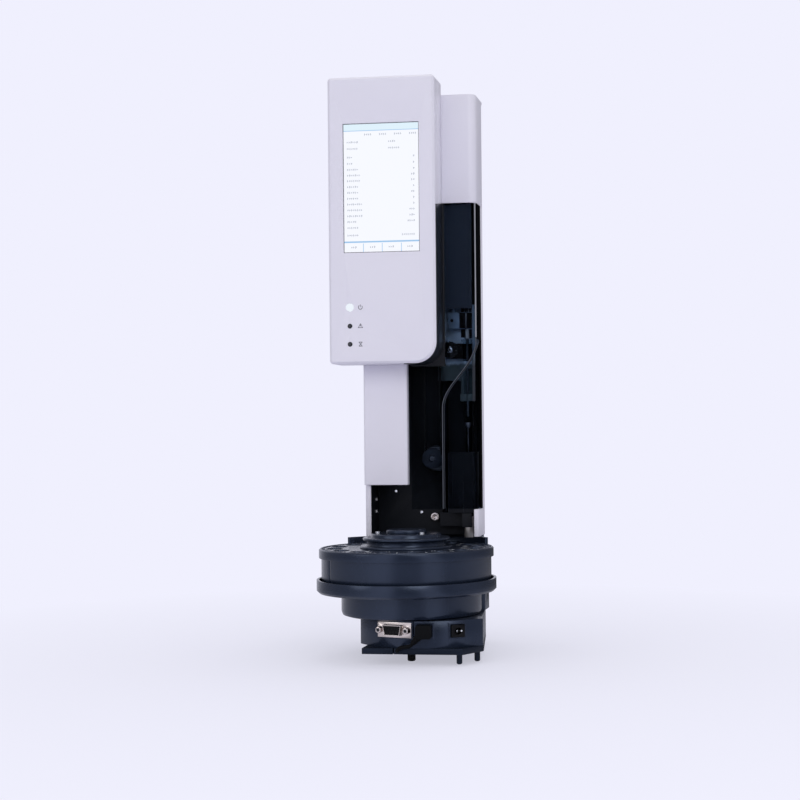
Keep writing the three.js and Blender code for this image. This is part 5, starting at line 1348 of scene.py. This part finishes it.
def outline_strip(points, width, y, thickness, builder, closed=True):
    """A flat raised line through points given as X and Z."""
    count = len(points)
    for i in range(count if closed else count - 1):
        a, b = Vector(points[i]), Vector(points[(i + 1) % count])
        along = (b - a).normalized()
        side = Vector((-along.y, along.x)) * width / 2
        reach = along * width * 0.45
        corners = [a - reach - side, b + reach - side, b + reach + side, a - reach + side]
        ends = (y - thickness, y)
        front, back = ([builder.verts.new((p.x, level, p.y)) for p in corners] for level in ends)
        builder.faces.new(front)
        builder.faces.new(list(reversed(back)))
        for k in range(4):
            builder.faces.new([front[(k + 1) % 4], front[k], back[k], back[(k + 1) % 4]])


# The signs beside the lamps, as X and Z in shares of their size, and whether each is closed
SIGN_SIZE, SIGN_LINE, SIGN_AWAY = 1.7, 0.42, 9.0
SIGNS = [
    ("power_lens", arc_points(0, 0, 1, 125, 290, 18)[:-1], False),
    ("power_lens", [(0, 0.2), (0, 1.25)], False),
    ("warning_lens", [(-1.1, -0.85), (1.1, -0.85), (0, 1.1)], True),
    ("warning_lens", [(0, -0.1), (0, 0.45)], False),
    ("waiting_lens", [(-0.8, 1), (0.8, 1), (-0.8, -1), (0.8, -1)], True),
]


class AUTOSAMPLER_OT_lamp_marks(Operator):
    """Prints a small plain sign beside each lamp and fits rims round the two dark ones"""

    bl_idname = "autosampler.lamp_marks"
    bl_label = "Lamp marks"

    def execute(self, context):
        builder = bmesh.new()
        size = SIGN_SIZE * MM
        for lamp, outline, closed in SIGNS:
            x, z = middle_of(lamp).x + SIGN_AWAY * MM, middle_of(lamp).z
            points = [(x + size * u, z + size * v) for u, v in outline]
            outline_strip(points, SIGN_LINE * MM, FACE_Y, settings("marks").film, builder, closed)
        link("lamp_signs", mesh_of(builder, "lamp_signs"), "lamp print", "frame", "black_plastic")
        ring_tree()
        dark = [middle_of(lamp) for lamp in ("warning_lens", "waiting_lens")]
        rims = [(lamp.x, FACE_Y - 0.02 * MM, lamp.z) for lamp in dark]
        rings("lamp_rims", rims, "frame", "black plastic", "black_plastic", 1.75, 0.28, FACE_FRONT)
        return {"FINISHED"}


TYPE_SIZE = 1.35


def numeral_mesh(text, height):
    """A number as a thin mesh lying in X and Y, centred on the origin."""
    data = bpy.data.curves.new("numeral", "FONT")
    data.body = text
    data.size = height * TYPE_SIZE
    data.align_x = data.align_y = "CENTER"
    data.extrude = settings("marks").film / 2
    data.resolution_u = 3
    return plain_mesh(into_scene("numeral", data))


WELL_CIRCLE, WELL_RIM, RIM_CIRCLE = 60, 6.7, 69.9


class AUTOSAMPLER_OT_turret_marks(Operator):
    """Prints the well numbers and pointer strokes on the turret, and fits its rims and ribs"""

    bl_idname = "autosampler.turret_marks"
    bl_label = "Turret marks"

    def execute(self, context):
        m = settings("marks")
        builder = bmesh.new()
        print_z, rib_z = DECK_Z + m.film / 2, DECK_Z + 0.1 * MM
        first = math.atan2(STATION.y - AXIS.y, STATION.x - AXIS.x)
        pitch = 2 * math.pi / m.wells
        for index, place in enumerate(ring_points(m.wells, m.numeral_circle, AXIS, print_z, first)):
            mesh = numeral_mesh(str(index + 1), m.numeral)
            turn = Matrix.Rotation(first + pitch * index + math.pi / 2, 4, "Z")
            mesh.transform(Matrix.Translation(place) @ turn)
            builder.from_mesh(mesh)
        link("well_numbers", mesh_of(builder, "well_numbers"), "deck print", "turret", "white_shell")
        bar_tree()
        wells = ring_points(m.wells, WELL_CIRCLE * MM, AXIS, DECK_Z, first)
        rings("well_rims", wells, "turret", "dark moulding", "dark_moulding", WELL_RIM, 0.42, FACE_UP)
        grown(
            "rim_ribs", "Bars", ring_points(m.ribs, RIM_CIRCLE * MM, AXIS, rib_z), "turret", "dark moulding",
            "dark_moulding", Size=millimetres(2.2, 1.1, 0.9), Centre=(AXIS.x, AXIS.y, rib_z),
        )
        middles = ring_points(m.wells, WELL_CIRCLE * MM, AXIS, print_z, first + pitch / 2)
        grown(
            "well_strokes", "Bars", middles, "turret", "deck print", "white_shell",
            Size=(5.5 * MM, 0.6 * MM, m.film), Centre=(AXIS.x, AXIS.y, print_z),
        )
        return {"FINISHED"}


# The two sockets: turns of their walls about a shared centre, and distances out from it in millimetres
DATA_TURN, POWER_TURN = math.radians(-16.9), math.radians(29.0)
CONTACTS_OUT, THREADS_OUT, BORES_OUT, PINS_OUT = 70.25, 70.6, 70.5, 66.5
PINS_ALONG, PINS_UP = (-0.8, 2.6), 27.6
CONTACT_PITCH, CONTACT_ROWS = 2.74, ((5, 1.42), (4, -1.42))
JACKSCREW_AWAY = 12.5


class AUTOSAMPLER_OT_sockets(Operator):
    """Fills in the contacts of the data socket and the power socket"""

    bl_idname = "autosampler.sockets"
    bl_label = "Socket contacts"

    def execute(self, context):
        z = middle_of("data_socket_insert").z / MM
        contacts = [
            self.on_wall(DATA_TURN, (i - (count - 1) / 2) * CONTACT_PITCH, CONTACTS_OUT, z + rise)
            for count, rise in CONTACT_ROWS for i in range(count)
        ]
        threads, bores = (
            [self.on_wall(DATA_TURN, side * JACKSCREW_AWAY, out, z) for side in (-1, 1)]
            for out in (THREADS_OUT, BORES_OUT)
        )
        data_facing, power_facing = (math.pi / 2, 0.0, DATA_TURN), (math.pi / 2, 0.0, POWER_TURN)
        rings("data_contacts", contacts, "frame", "dark contact", "nickel_plate", 0.62, 0.17, data_facing)
        rings("jackscrew_threads", threads, "frame", "plain steel", "nickel_plate", 1.35, 0.3, data_facing)
        bore = millimetres(1.2, 0.25, 0.1, 0.4)
        screws("jackscrew_bores", bores, "frame", "dark contact", "nickel_plate", bore, data_facing, 21)
        pins = [self.on_wall(POWER_TURN, x, PINS_OUT, PINS_UP) for x in PINS_ALONG]
        pin = millimetres(0.75, 0.7, 0.2, 0.3)
        screws("power_pins", pins, "frame", "bright chrome", "black_plastic", pin, power_facing, 22)
        return {"FINISHED"}

    def on_wall(self, turn, x, out, z):
        """A point before a turned wall of the base: along it, out from it and up, in millimetres."""
        centre = Matrix.Translation((20 * MM, AXIS.y + 9 * MM, 0))
        return centre @ Matrix.Rotation(turn, 4, "Z") @ Vector(millimetres(x, -out, z))


class AUTOSAMPLER_OT_belt(Operator):
    """Winds the toothed belt round its two pulleys"""

    bl_idname = "autosampler.belt"
    bl_label = "Toothed belt"

    def execute(self, context):
        belt_tree()
        low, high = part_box("timing_belt")
        radius = (high.x - low.x) / 2 - 0.5 * MM
        line = []
        for pulley, start in (("drive_pulley", 180), ("idler_pulley", 0)):
            centre = middle_of(pulley)
            for x, z in arc_points(centre.x, centre.z, radius, start, 180, 12):
                line.append(Vector((x, (low.y + high.y) / 2, z)))
        belt = grown(
            "toothed_belt", "Toothed belt", line, "frame", "black rubber", "black_rubber", joined="loop",
            Width=(high.y - low.y), Thickness=0.9 * MM, Tooth_pitch=2 * MM, Tooth_height=0.5 * MM,
        )
        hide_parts("timing_belt")
        return {"FINISHED"}


# The syringe's scale in millimetres: height of its first line, step, and distance before the barrel's axis
SCALE_START, SCALE_PITCH, SCALE_AWAY = 6, 2, 4.02


class AUTOSAMPLER_OT_syringe(Operator):
    """Marks the syringe's scale on its glass barrel"""

    bl_idname = "autosampler.syringe"
    bl_label = "Syringe scale"

    def execute(self, context):
        low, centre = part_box("syringe_barrel")[0], middle_of("syringe_barrel")
        spots = [
            Vector((centre.x, centre.y - SCALE_AWAY * MM, low.z + SCALE_START * MM + SCALE_PITCH * MM * i))
            for i in range(settings("marks").graduations)
        ]
        long_lines = spots[::5]
        short_lines = [spot for i, spot in enumerate(spots) if i % 5]
        for name, places, width in (("scale_long", long_lines, 4.0), ("scale_short", short_lines, 2.4)):
            grown(
                name, "Bars", places, "carriage", "lamp print", "black_plastic",
                Size=millimetres(width, 0.12, 0.22), Centre=tuple(centre), Turned=False,
            )
        return {"FINISHED"}


class AUTOSAMPLER_PT_panel(Panel):
    """Lists the settings, and the pieces of the autosampler in the order they are made"""

    bl_label = "Autosampler"
    bl_idname = "AUTOSAMPLER_PT_panel"
    bl_space_type = "VIEW_3D"
    bl_region_type = "UI"
    bl_category = "Autosampler"

    def draw(self, context):
        for group in GROUPS:
            values = settings(group)
            box = self.layout.box()
            box.label(text=group.capitalize())
            for name in values.bl_rna.properties.keys():
                if name not in ("rna_type", "name"):
                    box.prop(values, name)
        for operator in OPERATORS:
            self.layout.operator(operator.bl_idname)


GROUPS = {
    "colours": AutosamplerColours,
    "fasteners": AutosamplerFasteners,
    "marks": AutosamplerMarks,
    "lead": AutosamplerLead,
    "studio": AutosamplerStudio,
}
OPERATORS = (
    AUTOSAMPLER_OT_stage,
    AUTOSAMPLER_OT_finishes,
    AUTOSAMPLER_OT_lead,
    AUTOSAMPLER_OT_cases,
    AUTOSAMPLER_OT_head_liner,
    AUTOSAMPLER_OT_chassis_trim,
    AUTOSAMPLER_OT_door_trim,
    AUTOSAMPLER_OT_mechanism_trim,
    AUTOSAMPLER_OT_screws,
    AUTOSAMPLER_OT_display,
    AUTOSAMPLER_OT_lamp_marks,
    AUTOSAMPLER_OT_turret_marks,
    AUTOSAMPLER_OT_sockets,
    AUTOSAMPLER_OT_belt,
    AUTOSAMPLER_OT_syringe,
)


def register():
    for cls in (*GROUPS.values(), *OPERATORS, AUTOSAMPLER_PT_panel):
        bpy.utils.register_class(cls)
    for name, cls in GROUPS.items():
        setattr(bpy.types.Scene, "autosampler_" + name, PointerProperty(type=cls))


def unregister():
    for name in GROUPS:
        delattr(bpy.types.Scene, "autosampler_" + name)
    for cls in (AUTOSAMPLER_PT_panel, *reversed(OPERATORS), *reversed(GROUPS.values())):
        bpy.utils.unregister_class(cls)


def main():
    register()
    for operator in OPERATORS:
        group, name = operator.bl_idname.split(".")
        getattr(getattr(bpy.ops, group), name)()


if __name__ == "__main__":
    main()
